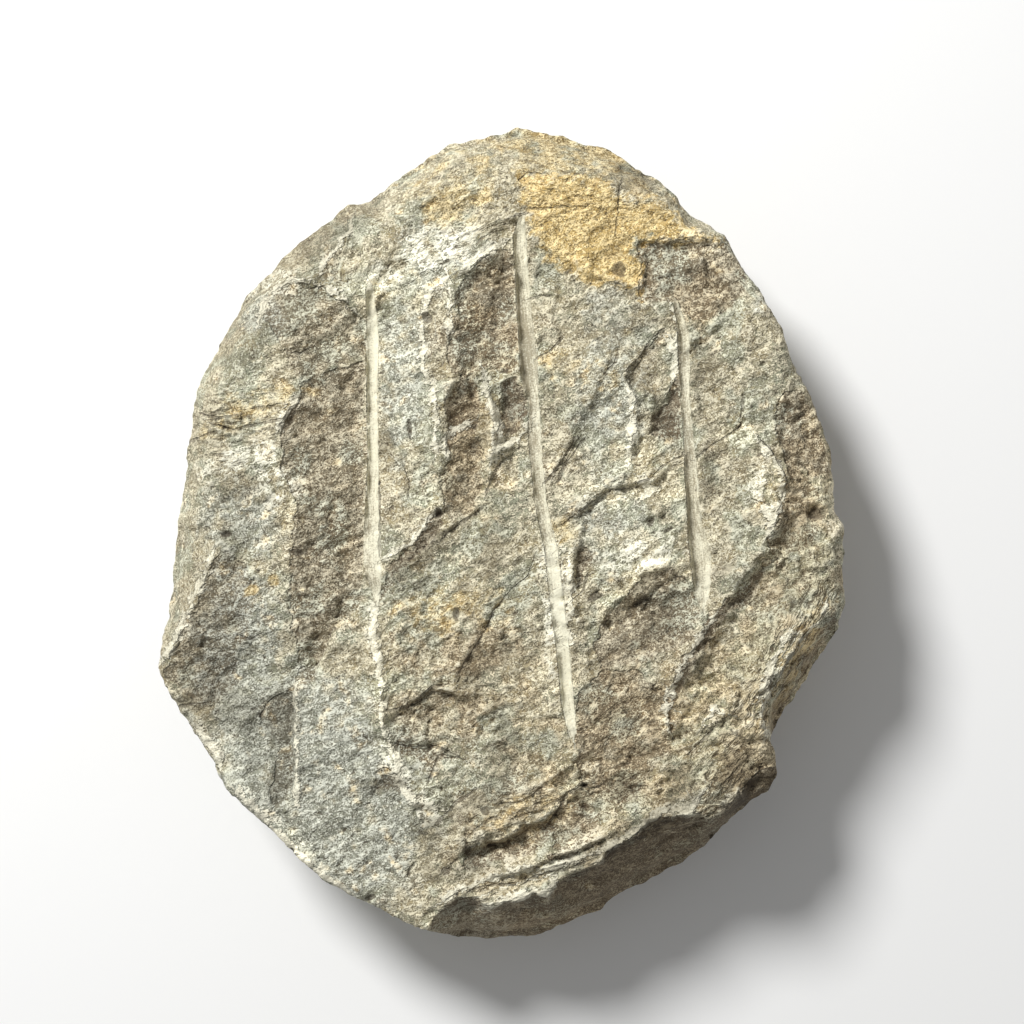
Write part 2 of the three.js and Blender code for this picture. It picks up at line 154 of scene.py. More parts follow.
# Ledges, ribs and scarps: the line, then the section across it as distance to its right and height, then
# the lengths over which it grows from its start and dies out to its end
ledges = {
    "bottom_scarp": ([[-19, -90], [-13.9, -77.4], [-12.3, -74.8], [-9.9, -72.8], [-7.9, -71.8], [-4.7, -72],
        [-2.7, -74], [-0.9, -74], [0.7, -72.8], [3.3, -72.6], [6.7, -71.4], [9.3, -71.8], [10.3, -69.8],
        [11.7, -68.8], [14.7, -67], [17.7, -65.8], [19.7, -65], [20.7, -63], [22.3, -61.8], [24.1, -61],
        [26.1, -59.8], [28.1, -57.8], [29.7, -56.4], [32.7, -55.8], [35.7, -55.8], [39.7, -55],
        [40.3, -56.4], [42.9, -55.8], [45.3, -53.4], [47.7, -51]], [[-12, 0], [0, 1.2], [1, 0.2],
        [10, -10.5], [16, -16]], (12, 3)),
    "right_margin": ([[50.1, -41.8], [51.7, -37], [51.3, -33.4], [56.9, -24.2], [60.3, -19], [67.3, -14.6]],
        [[-10, 0], [0, 1.4], [3, -3], [8, -8]], (6, 6)),
    "left_bevel": ([[-67.7, -27], [-62.3, -18.4], [-57.9, -8.4], [-54.7, 0.6]], [[-9, -4], [0, 1.6],
        [12, -1], [22, 0]], (6, 6)),
    "right_ledge": ([[33.3, -33.8], [34.3, -29.4], [40.1, -19.8], [47.3, -8.8], [54.3, 1], [56.7, 11],
        [51.1, 20.2]], [[-14, 0], [0, 1.5], [3.5, -1.2], [13, 0]], (6, 26)),
    "left_rib": ([[-38.1, -27.8], [-41.1, -6.4], [-40.1, 5.6], [-43.5, 21.6], [-39.5, 31.6], [-41.1, 39.6],
        [-39.9, 49]], [[-20, 0], [0, 3.4], [13, -1.2], [24, 0]], (20, 10)),
    "left_centre_rib": ([[-23.5, -13.4], [-16.7, -2.4], [-12.3, 6], [-12.1, 20.6], [-9.1, 34.2],
        [-9.1, 46.6], [-6.3, 52.2], [2.1, 58]], [[-13, 0], [0, 2.6], [1.4, 1.9], [8, -0.6], [15, 0]],
        (6, 6)),
    "small_rib": ([[-2.9, 6.6], [-1.5, 18.6], [-1.9, 25.6], [-3.1, 31]], [[-3, 0], [0, 2], [0.8, 0.8],
        [4, -0.8], [8, 0]], (6, 6)),
    "middle_fold": ([[8.7, 10.2], [12.9, 17], [16.7, 24.6], [19.9, 32.2], [24.1, 40.6]], [[-9, 0], [0, 0.9],
        [0.8, 0], [5, -0.5], [11, 0]], (6, 6)),
    "right_rib": ([[26.5, 13.8], [26.3, 26.2], [24.1, 31], [27.9, 36], [32.1, 40]], [[-10, 0], [0, 1.8],
        [0.8, 0.8], [8, -0.8], [12, 0]], (6, 6)),
    "ochre_edge": ([[-4.7, 61], [3.3, 62.8], [6.9, 58], [17.7, 51.2], [27.7, 48.2], [28.5, 54.2],
        [26.9, 58], [46.3, 58]], [[-12, 0], [0, 0.9], [0.6, -0.1], [9, -1.2], [22, 0]], (6, 6)),
    "upper_left_lip": ([[-47.9, 47.4], [-43.3, 50], [-36.7, 50.6], [-31.3, 58.6], [-30.3, 62.2]], [[-4, 0],
        [0, 0.5], [1.2, -0.1], [6, 0]], (6, 6)),
    "overhang_ledge": ([[-9.3, -64.6], [-7.3, -62.6], [0.9, -60.6], [4.1, -57.6], [8.7, -56.2],
        [15.7, -49.8], [19.7, -49]], [[-10, 0], [0, 1.1], [0.8, -1.2], [6, -0.6], [12, 0]], (4, 20)),
    "lower_lip": ([[-6.3, -69], [3.7, -66.6], [11.7, -63.4], [23.7, -58.4]], [[-2.5, 0], [0, 0.9],
        [0.6, -0.6], [4, 0]], (6, 6)),
    "centre_ledge": ([[-22.7, -41.8], [-23.3, -36.6], [-16.1, -32.2], [-13.5, -29.8], [-4.3, -33.4]],
        [[-8, 0], [0, 0.9], [0.8, -0.8], [9, 0]], (6, 6)),
    "plate_edge": ([[-41.1, -54.4], [-40.9, -30.2], [-37.5, -29.8], [-33.5, -20.4], [-26.7, -13.4]],
        [[-10, 0], [-0.5, -1.3], [0.2, 0.5], [14, 0]], (6, 6)),
    "centre_step": ([[14.9, -14.2], [13.9, -8.4], [14.3, -3], [17.7, -0.4]], [[-3, 0], [0, 1], [0.7, -0.9],
        [7, 0]], (6, 6)),
    "joint_step": ([[12.7, 1.6], [20.3, 8.6], [30.3, 11], [35.7, 15.6]], [[-6, 0], [0, 0.9], [0.7, -0.5],
        [7, 0]], (6, 6)),
    "white_hump": ([[24.1, -14.6], [27.7, -9], [32.7, -5.4], [36.5, -2.4]], [[-12, 0], [0, 1.6], [8, -0.9],
        [15, 0]], (6, 6)),
    "crack_step": ([[-9.3, -32.8], [-8.7, -28.4], [-4.3, -19], [-1.9, -14.2], [2.7, -11]], [[-7, 0],
        [0, 0.4], [0.6, -0.2], [9, -0.3], [16, 0]], (6, 6)),
    "white_crest": ([[-13.9, -57], [-20.3, -47.8], [-23.5, -37.4], [-23.9, -29.4], [-25.7, -14.6]],
        [[-3, 0], [0, 0.9], [2.5, 0]], (6, 6)),
}

# Hollows plucked out between the ledges: middle, half length, half width, bearing, depth
hollows = [
    (-8.5, 22.2, 9.5, 3.2, 90, 0.6), (1.3, 25.2, 6.5, 2.3, 90, 0.5), (-2.7, 50.6, 6, 5, 0, 0.4),
    (-4.7, 38.2, 8, 4.5, 0, 0.8), (32.1, 23, 6.5, 3.3, 90, 1.6), (60.5, 19.6, 9, 5, 100, 2.2),
    (62.1, 4, 3.5, 2, 60, 1.6), (28.1, -15, 11, 8, 20, 1.3), (-14.3, -37.4, 8, 4, 10, 1.1),
    (-15.5, -42.4, 8, 2.4, 8, 0.7), (-2.3, -62.4, 8, 2.6, 18, 1.3), (-47.3, -43.4, 12, 5, 90, 1.6),
]
# How far the ledges and hollows stray from their lines, along x and along y
stray_x = [(0.5, lumps, 6, 1, 11), (0.35, lumps, 2, 1, 12)]
stray_y = [(0.5, lumps, 6, 1, 13), (0.35, lumps, 2, 1, 14)]


def bare_upper_face(x, y):
    """The height of the upper face's large forms: its dome, ledges, hollows and broken bevel."""
    height = thickness - dome * (x * x + y * y) / dome_reach ** 2
    near_x, near_y = x + layered(stray_x, x, y), y + layered(stray_y, x, y)
    for line, section, (start_fade, end_fade) in ledges.values():
        right, along, to_end, _ = nearest_on(line, near_x, near_y)
        strength = smooth(along / start_fade) * smooth(to_end / end_fade)
        height = height + np.interp(right, *np.transpose(section)) * strength
    for *oval, depth in hollows:
        along, across = across_oval(oval, near_x, near_y)
        height = height - depth * np.clip(1 - along ** 2 - across ** 2, 0, 1) ** 2
    inside, _, _, (bevel, drop) = nearest_on(np.vstack([outline, outline[:1]]), x, y)
    return height - drop * np.clip(1 - inside / bevel, 0, 1) ** 2


# The three saw kerfs: x, y, depth, width and how pale they are, running out to nothing at both ends
kerfs = [
    [[-26.1, 48.4, 0, 1.4, 0.8], [-25.7, 43, 0.8, 2.2, 0.9], [-25.6, 38.6, 0.9, 2.6, 0.9],
     [-25.6, 26.6, 0.8, 2.2, 0.8], [-25.4, 14.6, 0.8, 2.2, 0.9], [-25.5, 6.6, 0.8, 2.6, 0.8],
     [-25.6, -3, 1, 3.8, 0.7], [-25.5, -6.4, 0.9, 3.9, 0.6], [-24.9, -11, 0.5, 2, 0.7],
     [-24.7, -14, 0, 0.6, 0.8]],
    [[3.9, 62.2, 0, 1.2, 0.5], [3.6, 58.6, 0.7, 2.6, 0.5], [4.1, 50.6, 0.9, 2.8, 0.3],
     [4.6, 42.6, 1, 3, 0.2], [5.3, 34.6, 1, 3.6, 0.1], [5.6, 30.6, 0.9, 3.4, 0.1],
     [6.4, 26.6, 0.6, 2.2, 0.4], [6.6, 18.6, 0.7, 2.6, 0.4], [7.3, 10.6, 0.7, 2.4, 0.3],
     [7.7, 6.6, 0.7, 2.4, 0.3], [8.9, 0.6, 0.5, 2.4, 0.5], [9.9, -3.4, 0.3, 2.6, 0.9],
     [10.9, -13.4, 0.2, 2.8, 1.1], [12, -21.4, 0.2, 2.6, 1.1], [13.1, -33.4, 0.3, 2.6, 1.1],
     [14.1, -40, 0, 1.6, 1]],
    [[34.5, 45.8, 0, 1, 0], [35.5, 42.6, 0.7, 1.6, 0.1], [36.1, 39.6, 0.8, 2.4, 0.1],
     [36.3, 34.6, 0.7, 2.4, 0.1], [36.4, 26.6, 0.6, 1.8, 0.4], [37.1, 18.6, 0.7, 2, 0.4],
     [37.6, 10.6, 0.7, 2.6, 0.2], [37.9, 4.6, 0.8, 2.4, 0.2], [38.8, -1.4, 1, 3.8, 0.3],
     [39.4, -5.4, 1, 4.2, 0.4], [39.7, -11.4, 0.7, 3.2, 0.7], [39.9, -15.4, 0, 0.6, 0.7]],
]


def kept_where(nearer, found, best):
    """What was found where it is nearer, and the best so far elsewhere."""
    return [np.where(nearer, new, old) for new, old in zip(found, best)]


def nearest_kerf(x, y):
    """Distance to the right of the nearest kerf and along it, and its depth, width and paleness there."""
    best = [np.full(x.shape, start) for start in (99.0, 0.0, 0.0, 2.0, 0.0)]
    for kerf in kerfs:
        right, along, _, further = nearest_on(kerf, x, y)
        nearer = (abs(right) < abs(best[0])) & (abs(right) < 3)
        best = kept_where(nearer, (right, along, *further), best)
    return best


# Faces broken lower than what is round them: depth, width of their walls, how brown they are, where the
# brownest also get painted shade, how bare of flecks they are, and their corners
dark_faces = {
    "upper_hollow": (0.3, 0.9, 0.85, 0.1, [[2.3, 57], [-0.3, 56.2], [-2.3, 55], [-4.7, 53], [-7.9, 51],
        [-8.9, 48.6], [-9.1, 45.6], [-8.7, 43], [-9.3, 40.6], [-10.7, 37.6], [-10.9, 34.2], [-9.3, 31.8],
        [-6.3, 31.8], [-2.9, 32.6], [0.7, 31.8], [3.3, 32.2], [3.9, 36.6], [3.1, 42.6], [2.7, 49.6]]),
    "left_pit": (0.4, 1, 0.95, 0.2, [[-7.9, 31], [-5.7, 31.4], [-4.5, 27.6], [-4.1, 21.6], [-4.7, 19.8],
        [-7.9, 19.4], [-10.3, 16.6], [-11.1, 18.6], [-11.1, 26.2], [-9.3, 28.6]]),
    "right_pit": (0.4, 1, 1.15, 0.3, [[-0.3, 29.6], [2.7, 31], [4.1, 28.2], [5.3, 25.4], [5.1, 23.4],
        [3.9, 21.6], [3.1, 19.4], [1.1, 18.6], [-0.1, 20.2], [-0.1, 24.6]]),
    "lower_pit": (0.3, 2.5, 0.7, 0, [[-10.3, 16.6], [-7.9, 19.2], [-4.3, 19.4], [-3.5, 12.6], [-4.3, 6.6],
        [-7.1, 2.6], [-11.1, 1.8], [-11.5, 5], [-11.9, 10.6]]),
    "diagonal_recess": (0.4, 1, 1, 0.1, [[-13.5, 4.8], [-12.1, 5.4], [-10.9, 3.8], [-11.1, 1.6],
        [-13.5, -1.6], [-16.3, -4.6], [-20.3, -8.4], [-23.1, -12.2], [-24.7, -14.6], [-23.9, -11.4],
        [-22.7, -6.8], [-21.1, -5], [-19.9, -3.8], [-17.5, -3.2], [-15.9, -0.6], [-14.9, 2.6]]),
    "left_panel": (0.3, 2.5, 0.75, 0, [[-39.1, 29.6], [-34.3, 32.2], [-27.1, 34.6], [-26.9, 6.6],
        [-27.1, -13], [-29.9, -16.2], [-33.9, -20.6], [-35.5, -25.4], [-40.3, -25.8], [-41.9, -11.4],
        [-41.1, -2.4], [-40.5, 6.6], [-43.3, 12.6], [-43.5, 19.2], [-42.7, 22.2], [-40.3, 26.2]]),
    "panel_corner": (0.6, 1.5, 1.3, 0.2, [[-39.5, 28], [-39.7, 25], [-39.9, 21.6], [-40.9, 19.2],
        [-43.5, 19], [-43.5, 21], [-42.3, 23.4], [-40.7, 25.8]]),
    "upper_panel": (0.2, 3.4, 0.6, 0, [[-47.5, 43], [-46.7, 46.2], [-44.3, 48.4], [-40.9, 49.8],
        [-35.3, 48.4], [-31.3, 46.4], [-27.5, 43], [-27.1, 34.6], [-34.3, 32.2], [-39.1, 29.8],
        [-42.3, 33.6], [-43.9, 38.6]]),
    "left_facet": (0.2, 2.5, 0.6, 0, [[-55.9, -2.8], [-50.3, -5.4], [-47.9, -13.4], [-52.3, -23.4],
        [-53.1, -31.4], [-59.3, -35.8], [-67.7, -27.6], [-64.7, -22.4], [-61.9, -17], [-59.3, -11.4]]),
    "plate_foot": (0.3, 0.9, 0.35, 0.2, [[-40.9, -30.6], [-45.3, -32.4], [-48.3, -37.4], [-45.5, -40],
        [-43.9, -43], [-46.5, -51], [-45.5, -55], [-41, -54]]),
    "foot_corner": (0.3, 1.2, 0.6, 0, [[-38.3, -24.6], [-34.9, -24.4], [-35.9, -27.4], [-36.9, -29.6],
        [-40.9, -30], [-40.3, -27.8]]),
    "right_scarp": (0.5, 1.8, 1, 0.2, [[33.3, -31.8], [34.1, -27], [35.7, -24.4], [37.7, -22.4],
        [39.1, -20], [40.3, -17.4], [42.1, -15], [44.7, -12.8], [47.3, -10.8], [49.7, -7.8], [52.1, -5.4],
        [55.3, -4.6], [52.1, -8.2], [50.3, -11.4], [48.1, -14.4], [43.7, -17.2], [41.3, -20.6],
        [39.7, -23.6], [37.7, -27.2], [35.3, -31.8]]),
    "rim_face": (0.7, 1.5, 0.9, 0, [[56.1, 27.6], [59.1, 29.2], [60.9, 26.2], [62.5, 22.2], [64.1, 18.2],
        [65.5, 12.2], [62.7, 10.6], [59.7, 12.6], [57.7, 10.2], [56.3, 12.6], [54.7, 18.6], [54.5, 23.6]]),
    "rim_slope": (0.5, 2.4, 0.8, 0, [[52.1, -2.2], [56.3, 10.2], [59.7, 11.8], [64.1, 6.6], [62.9, -1.4],
        [57.7, -4.6], [53.7, -4.6]]),
    "lower_rim": (0.6, 1.5, 1.05, 0.2, [[66.1, -15.2], [67.7, -17.4], [64.5, -23.8], [60.1, -30.2],
        [57.7, -34.6], [55.7, -37.8], [54.3, -41.8], [52.9, -39], [53.7, -33.4], [55.7, -29], [58.1, -25],
        [60.9, -21.8], [64.1, -17.8]]),
    "dark_corner": (1.1, 2, 2, 0.9, [[51.1, -46.6], [55.3, -46.6], [54.1, -51], [51.7, -53.4],
        [48.5, -54.6], [46.5, -55], [47.3, -51.8], [48.7, -49]]),
    "recess_plane": (0.3, 1.2, 1, 0.4, [[-7.5, -62.6], [-4.3, -61.4], [0.7, -60.8], [2.1, -59.2],
        [4.1, -57.4], [7.7, -57], [12.1, -57.4], [9.3, -61.4], [5.7, -64], [0.7, -64.8], [-4.7, -67.4],
        [-7.9, -66.6]]),
    "centre_recess": (0.3, 2, 0.85, 0, [[26.1, -9.8], [28.7, -7.6], [32.1, -7], [36.5, -8.4], [38.1, -12.6],
        [39.7, -15.8], [37.7, -21.4], [31.7, -23.8], [27.7, -25.8], [19.7, -27], [18.1, -21.4],
        [20.5, -16.4], [23.7, -13]]),
    "top_right": (0.3, 1.2, 0.85, 0, [[26.9, 58], [39.7, 58.4], [46.7, 57.4], [48.7, 53.6], [49.3, 48.6],
        [44.1, 43], [38.1, 42.4], [35.3, 45.4], [27.7, 46.6], [26.5, 48.2], [27.9, 52.2]]),
    "groove_face": (0.3, 1.1, 1.15, 0.3, [[34.9, 31], [35.7, 27], [35.9, 18.6], [32.1, 19], [28.7, 19.4],
        [29.7, 23.4], [32.9, 26.2], [33.9, 29]]),
    "notch": (0.4, 1.1, 1, 0.2, [[14.9, -3.2], [16.9, -2.6], [18.1, -4.6], [16.7, -7.4], [15.3, -11.4],
        [14.1, -10.2], [14.3, -5.8]]),
    "lens": (0.3, 2, 0.3, 0.2, [[32.1, 40.2], [30.1, 35.4], [31.7, 30.6], [30.7, 27.4], [25.7, 28.2],
        [24.1, 31], [26.5, 33.8], [28.7, 36.6]]),
    "wedge": (0.35, 1.2, 0.9, 0.2, [[-23.1, -40.6], [-17.9, -42.2], [-12.3, -42.8], [-7.9, -44.8],
        [-12.3, -45.4], [-17.9, -45], [-21.5, -43.4]]),
    "ledge_gap": (0.5, 1.2, 1.3, 0.4, [[9.1, -64], [12.1, -63.4], [14.9, -62.4], [17.7, -62], [17.7, -62.8],
        [15.1, -63.8], [12.1, -65], [9.7, -65]]),
    "brown_hollow": (0.5, 2, 1.1, 0, [[19.7, -48.4], [22.7, -45.8], [27.7, -46.4], [28.7, -50.4],
        [25.7, -53.4], [21.7, -53]]),
    "slab_front": (0.6, 1.6, 0.8, 0.2, [[9.7, -56.4], [11.7, -52.4], [14.7, -50.4], [17.7, -51.8],
        [19.7, -55.8], [17.7, -60.4], [13.7, -63.4], [10.1, -62.4]]),
    "dark_wedge": (0.5, 1.4, 0.7, 0.3, [[-26.3, -48.4], [-23.3, -47], [-19.3, -48.4], [-15.3, -52.4],
        [-16.7, -53.4], [-21.3, -51.4], [-25.3, -51.4]]),
    "brown_slope": (0.2, 5.1, 0.75, 0, [[14.7, -31.4], [19.7, -27], [27.7, -27], [34.1, -33.4],
        [33.7, -42.4], [27.7, -51.4], [19.7, -53.4], [15.3, -47.4], [14.1, -40.4]]),
}


def innermost_face(x, y):
    """How far inside a dark face each place is, and that face's depth, wall, brownness with its painted
    shade, and bareness.
    """
    best = [np.full(x.shape, start) for start in (-9.0, 0.0, 1.0, 0.0, 0.0)]
    for *values, loop in dark_faces.values():
        inside = inside_of(loop, x, y)
        best = kept_where(inside > best[0], (inside, *values), best)
    return best


def scarp_share(x, y):
    """How far beyond the scarp at the slab's front each place lies, less where the scarp runs out."""
    line, _, _ = ledges["bottom_scarp"]
    right, along, to_end, _ = nearest_on(line, x, y)
    return np.minimum(right, np.minimum((along - 3) / 2, to_end - 1))


# Thin raised crests that stand out pale: half width, height and line
pale_crests = [
    (0.7, 0.35, [[-25.3, -14.6], [-25.5, -17.8], [-25.1, -21.4], [-24.1, -25.4], [-23.7, -31.4],
     [-23.9, -36.4], [-23.1, -39.4], [-21.9, -42.6], [-20.3, -45.4]]),
    (0.7, 0.28, [[-20.3, -45.4], [-21.3, -47.8], [-19.1, -50.6], [-17.1, -53.4], [-12.3, -54.6]]),
    (0.3, 0.28, [[-40.9, -30.2], [-40.7, -37.4], [-40.5, -45.4], [-40.5, -53.4]]),
    (0.5, 0.28, [[-47.9, 42.6], [-47.5, 46], [-44.9, 48.6], [-41.3, 50.2], [-37.9, 49.8], [-34.7, 48.8],
     [-31.9, 47], [-29.1, 44.4]]),
    (0.4, 0.28, [[-36.1, 50.8], [-34.7, 54.2], [-32.3, 56.6], [-30.7, 59.6], [-29.9, 62.2]]),
    (0.6, 0.35, [[51.1, 18.4], [53.7, 15.6], [55.7, 11.6], [55.3, 6.6], [53.5, 2.6], [52.5, 0.2]]),
    (0.8, 0.28, [[-3.7, 31.8], [-3.1, 28.2], [-1.9, 25], [-0.7, 21.8], [-0.1, 18.6], [-1.5, 15]]),
    (0.6, 0.28, [[0.1, 17], [2.7, 18.4], [4.9, 20.4], [6.3, 23]]),
    (0.6, 0.28, [[-13.1, 29], [-13.5, 25.8], [-12.9, 22.2], [-13.1, 16.2]]),
    (0.5, 0.35, [[-11.1, 52.2], [-9.7, 48.6], [-10.1, 44.6], [-10.5, 39.8]]),
    (0.5, 0.28, [[-10.9, 51], [-13.1, 48.6], [-14.7, 45.8], [-15.7, 42.2], [-15.5, 37.6], [-15.7, 33.6],
     [-14.7, 30.2]]),
    (0.6, 0.35, [[-10.7, 16.2], [-11.1, 18.6], [-9.3, 20.6], [-7.1, 21.6]]),
    (0.6, 0.35, [[32.5, -32], [32.5, -35], [33.3, -38.2]]),
    (1.2, 0.5, [[9.3, -2.4], [10.9, -9.4], [11.9, -17.4], [12.9, -21.4]]),
    (0.7, 0.28, [[13.3, -5.4], [13.5, -11.4], [13.7, -15.8], [11.7, -19]]),
    (0.4, 0.42, [[53.3, -31], [51.7, -34.4], [51.5, -37.8], [53.3, -41]]),
    (0.5, 0.28, [[25.1, 28.2], [26.1, 23.4], [25.5, 18.6], [25.1, 14.2]]),
    (0.3, 0.35, [[54.9, -28.6], [56.9, -24.6], [59.7, -20.6], [62.7, -17.8], [64.3, -14.2]]),
    (0.6, 0.35, [[51.1, -32.2], [52.9, -27.4], [54.7, -23.4], [57.7, -18.8]]),
    (0.6, 0.35, [[-11.3, -72.6], [-7.9, -70.2], [-2.3, -68.6], [2.7, -67], [8.7, -66.2], [14.7, -64.4],
     [19.7, -63], [23.7, -60.6], [27.7, -57.4], [32.1, -54.6], [36.9, -53.4]]),
    (0.7, 0.28, [[-2.7, -74], [0.7, -72.4], [5.7, -71], [8.9, -71.2], [10.1, -69.4]]),
    (0.9, 0.28, [[-60.3, -39], [-57.5, -42.2], [-56.3, -45.4]]),
    (0.8, 0.28, [[-52.3, -51.4], [-47.3, -56.4], [-42.3, -62], [-36.7, -67.8], [-31.3, -71]]),
    (0.7, 0.28, [[-57.1, -4.6], [-59.1, -9.4], [-61.3, -13.8], [-62.7, -17.4], [-65.5, -23],
     [-67.9, -26.2]]),
    (0.6, 0.28, [[-40.3, 26.2], [-42.3, 23.4], [-43.5, 20.6]]),
    (0.6, 0.28, [[33.3, 37.6], [34.9, 34.6], [34.1, 31]]),
    (0.5, 0.21, [[33.7, 45], [34.9, 41.4], [34.9, 37.6]]),
    (0.5, 0.35, [[44.9, -35.8], [42.3, -35], [40.1, -37.8]]),
    (0.7, 0.28, [[39.7, -51.4], [36.9, -54.6], [34.9, -54.6]]),
    (0.6, 0.28, [[14.5, -3], [11.7, -3.8], [9.9, -5]]),
    (0.8, 0.28, [[27.7, 10.6], [30.1, 8.6], [28.1, 7]]),
    (0.8, 0.21, [[-0.3, 57.4], [-4.3, 55], [-7.9, 51.4]]),
    (0.6, 0.28, [[51.7, 11], [51.1, 6.6], [53.3, 2.6]]),
    (0.4, 0.28, [[-24.3, -5.6], [-20.5, -3.4], [-17.5, -1.6], [-15.1, 1.8], [-12.7, 4.4], [-10.9, 5.4]]),
    (0.4, 0.28, [[33.7, -33.4], [34.3, -29.4], [36.3, -25], [39.3, -20.6], [41.5, -17]]),
]

# Cracks: half width and line
cracks = [
    (0.17, [[3.1, 63], [4.9, 63.4], [5.5, 64.4], [8.1, 64.2], [10.9, 64.6], [12.9, 64.8]]),
    (0.15, [[23.9, 70.2], [23.3, 67], [23.1, 63.8]]),
    (0.1, [[3.5, 70.2], [5.1, 71.6], [7.9, 71.4]]),
    (0.1, [[22.9, 62.2], [22.7, 59.4]]),
    (0.15, [[48.1, 22.4], [46.7, 20.6], [43.7, 18.6], [41.3, 17.2], [38.9, 15.2]]),
    (0.15, [[35.7, 15.2], [33.1, 14.2], [31.1, 12.6], [29.3, 10.6], [27.3, 10.2]]),
    (0.12, [[24.1, 9], [21.3, 8.6], [19.7, 7.6], [17.7, 6], [15.3, 4.2], [12.3, 2]]),
    (0.12, [[6.5, -5], [5.3, -8.4], [2.7, -10.4], [0.7, -12.6], [-1.7, -15.6], [-2.9, -18.6], [-4.5, -21.4],
     [-6.3, -24.2], [-8.5, -27.8]]),
    (0.15, [[-12.7, -44.6], [-13.5, -46.6], [-14.3, -48.8]]),
    (0.2, [[14.7, 19], [12.9, 15.8], [10.9, 12.6], [8.7, 10.2]]),
    (0.15, [[16.3, 18.6], [14.3, 16], [12.7, 13.4], [11.1, 10.2]]),
    (0.17, [[-0.3, 13.6], [-1.9, 10.8], [-2.9, 8.2]]),
    (0.17, [[-3.9, 5], [-6.3, 3], [-8.3, 1.8], [-10.3, 0], [-11.7, -1.2]]),
    (0.25, [[-64.9, -34.8], [-63.1, -34.4], [-61.5, -34]]),
    (0.25, [[-12.5, -57.2], [-10.3, -55], [-8.9, -53.2], [-7.3, -52.4], [-5.1, -50.8]]),
    (0.12, [[-0.3, -53.6], [3.7, -53], [5.7, -52], [7.7, -50.2]]),
    (0.12, [[3.7, -55.8], [6.7, -55], [9.3, -53.8], [11.3, -52.8], [12.9, -51.6]]),
    (0.15, [[-6.3, -70.8], [-3.3, -69.8], [-0.3, -69.6], [3.7, -69.8], [6.7, -68], [9.7, -67],
     [12.7, -66.6], [15.7, -65.4], [19.3, -63.8]]),
    (0.23, [[50.3, -34.6], [51.3, -31.8], [53.7, -30.2], [55.7, -27], [57.9, -23.4], [60.1, -19.8]]),
    (0.17, [[37.3, -43.2], [40.3, -40.6], [42.1, -38.6], [44.1, -36.6], [46.7, -35], [48.1, -33.8]]),
    (0.2, [[9.3, -57.8], [11.7, -53.8], [13.7, -51.4], [15.7, -49.6]]),
    (0.2, [[-62.7, 18.2], [-59.3, 19.2], [-56.7, 20]]),
    (0.15, [[-57.5, 21.8], [-52.7, 20.4], [-47.9, 21.6], [-43.5, 22.4]]),
    (0.15, [[-59.7, 23.8], [-55.9, 22.8], [-52.3, 23.2]]),
    (0.17, [[-40.7, 35.6], [-39.5, 35.6], [-37.9, 36.4]]),
    (0.17, [[-24.2, 10.2], [-24.1, 2.6], [-24.1, -4.6]]),
    (0.15, [[-22.7, -35], [-19.3, -34.8], [-17.3, -33.8], [-15.3, -31.6], [-13.5, -30.2], [-11.5, -30]]),
    (0.15, [[-23.5, -40.8], [-20.3, -41.8], [-17.5, -42.4], [-13.9, -42.2], [-10.7, -43.2], [-7.5, -45]]),
    (0.2, [[32.3, 40.6], [30.1, 38.8], [28.7, 36.8], [26.9, 34], [24.5, 32]]),
    (0.15, [[7.1, 34.6], [9.3, 36], [11.7, 38.2]]),
    (0.12, [[5.7, 46.6], [8.1, 47.2], [10.1, 47.2]]),
    (0.15, [[21.3, 32.6], [22.5, 33.8], [22.9, 35.2]]),
    (0.15, [[-19.1, 12.6], [-18.1, 10.2], [-18.3, 7.8]]),
    (0.15, [[-21.1, -34.6], [-18.3, -34], [-15.5, -33]]),
    (0.12, [[-51.5, -20.2], [-49.5, -21], [-47.9, -20]]),
    (0.15, [[-18.9, -68.6], [-18.1, -66.6], [-17.3, -65.4]]),
    (0.17, [[-11.7, -67], [-10.3, -65.8], [-8.7, -64.6]]),
    (0.15, [[16.3, -50], [17.7, -50.6], [19.1, -50.2]]),
    (0.15, [[51.7, 18.4], [53.7, 16.2], [55.7, 12.6], [56.7, 9.8]]),
    (0.12, [[47.9, 26.6], [47.7, 24.6], [47.3, 22.6]]),
    (0.15, [[54.5, -20.6], [55.5, -19.4]]),
    (0.15, [[14.1, -13], [16.1, -11.4], [17.3, -7.4]]),
    (0.15, [[-1.9, -56.4], [-4.3, -57.8], [-6.3, -59.6]]),
    (0.1, [[-7.3, -70.4], [-9.3, -71.4], [-10.9, -72.6]]),
    (0.12, [[39.7, -39], [42.7, -37], [45.3, -34.6]]),
    (0.15, [[40.7, -55.8], [42.7, -54.6], [45.3, -53.4]]),
    (0.12, [[43.3, -51.4], [45.1, -50.6], [47.3, -48.6]]),
    (0.12, [[44.1, -49.4], [46.1, -47.8], [47.3, -46.2]]),
]

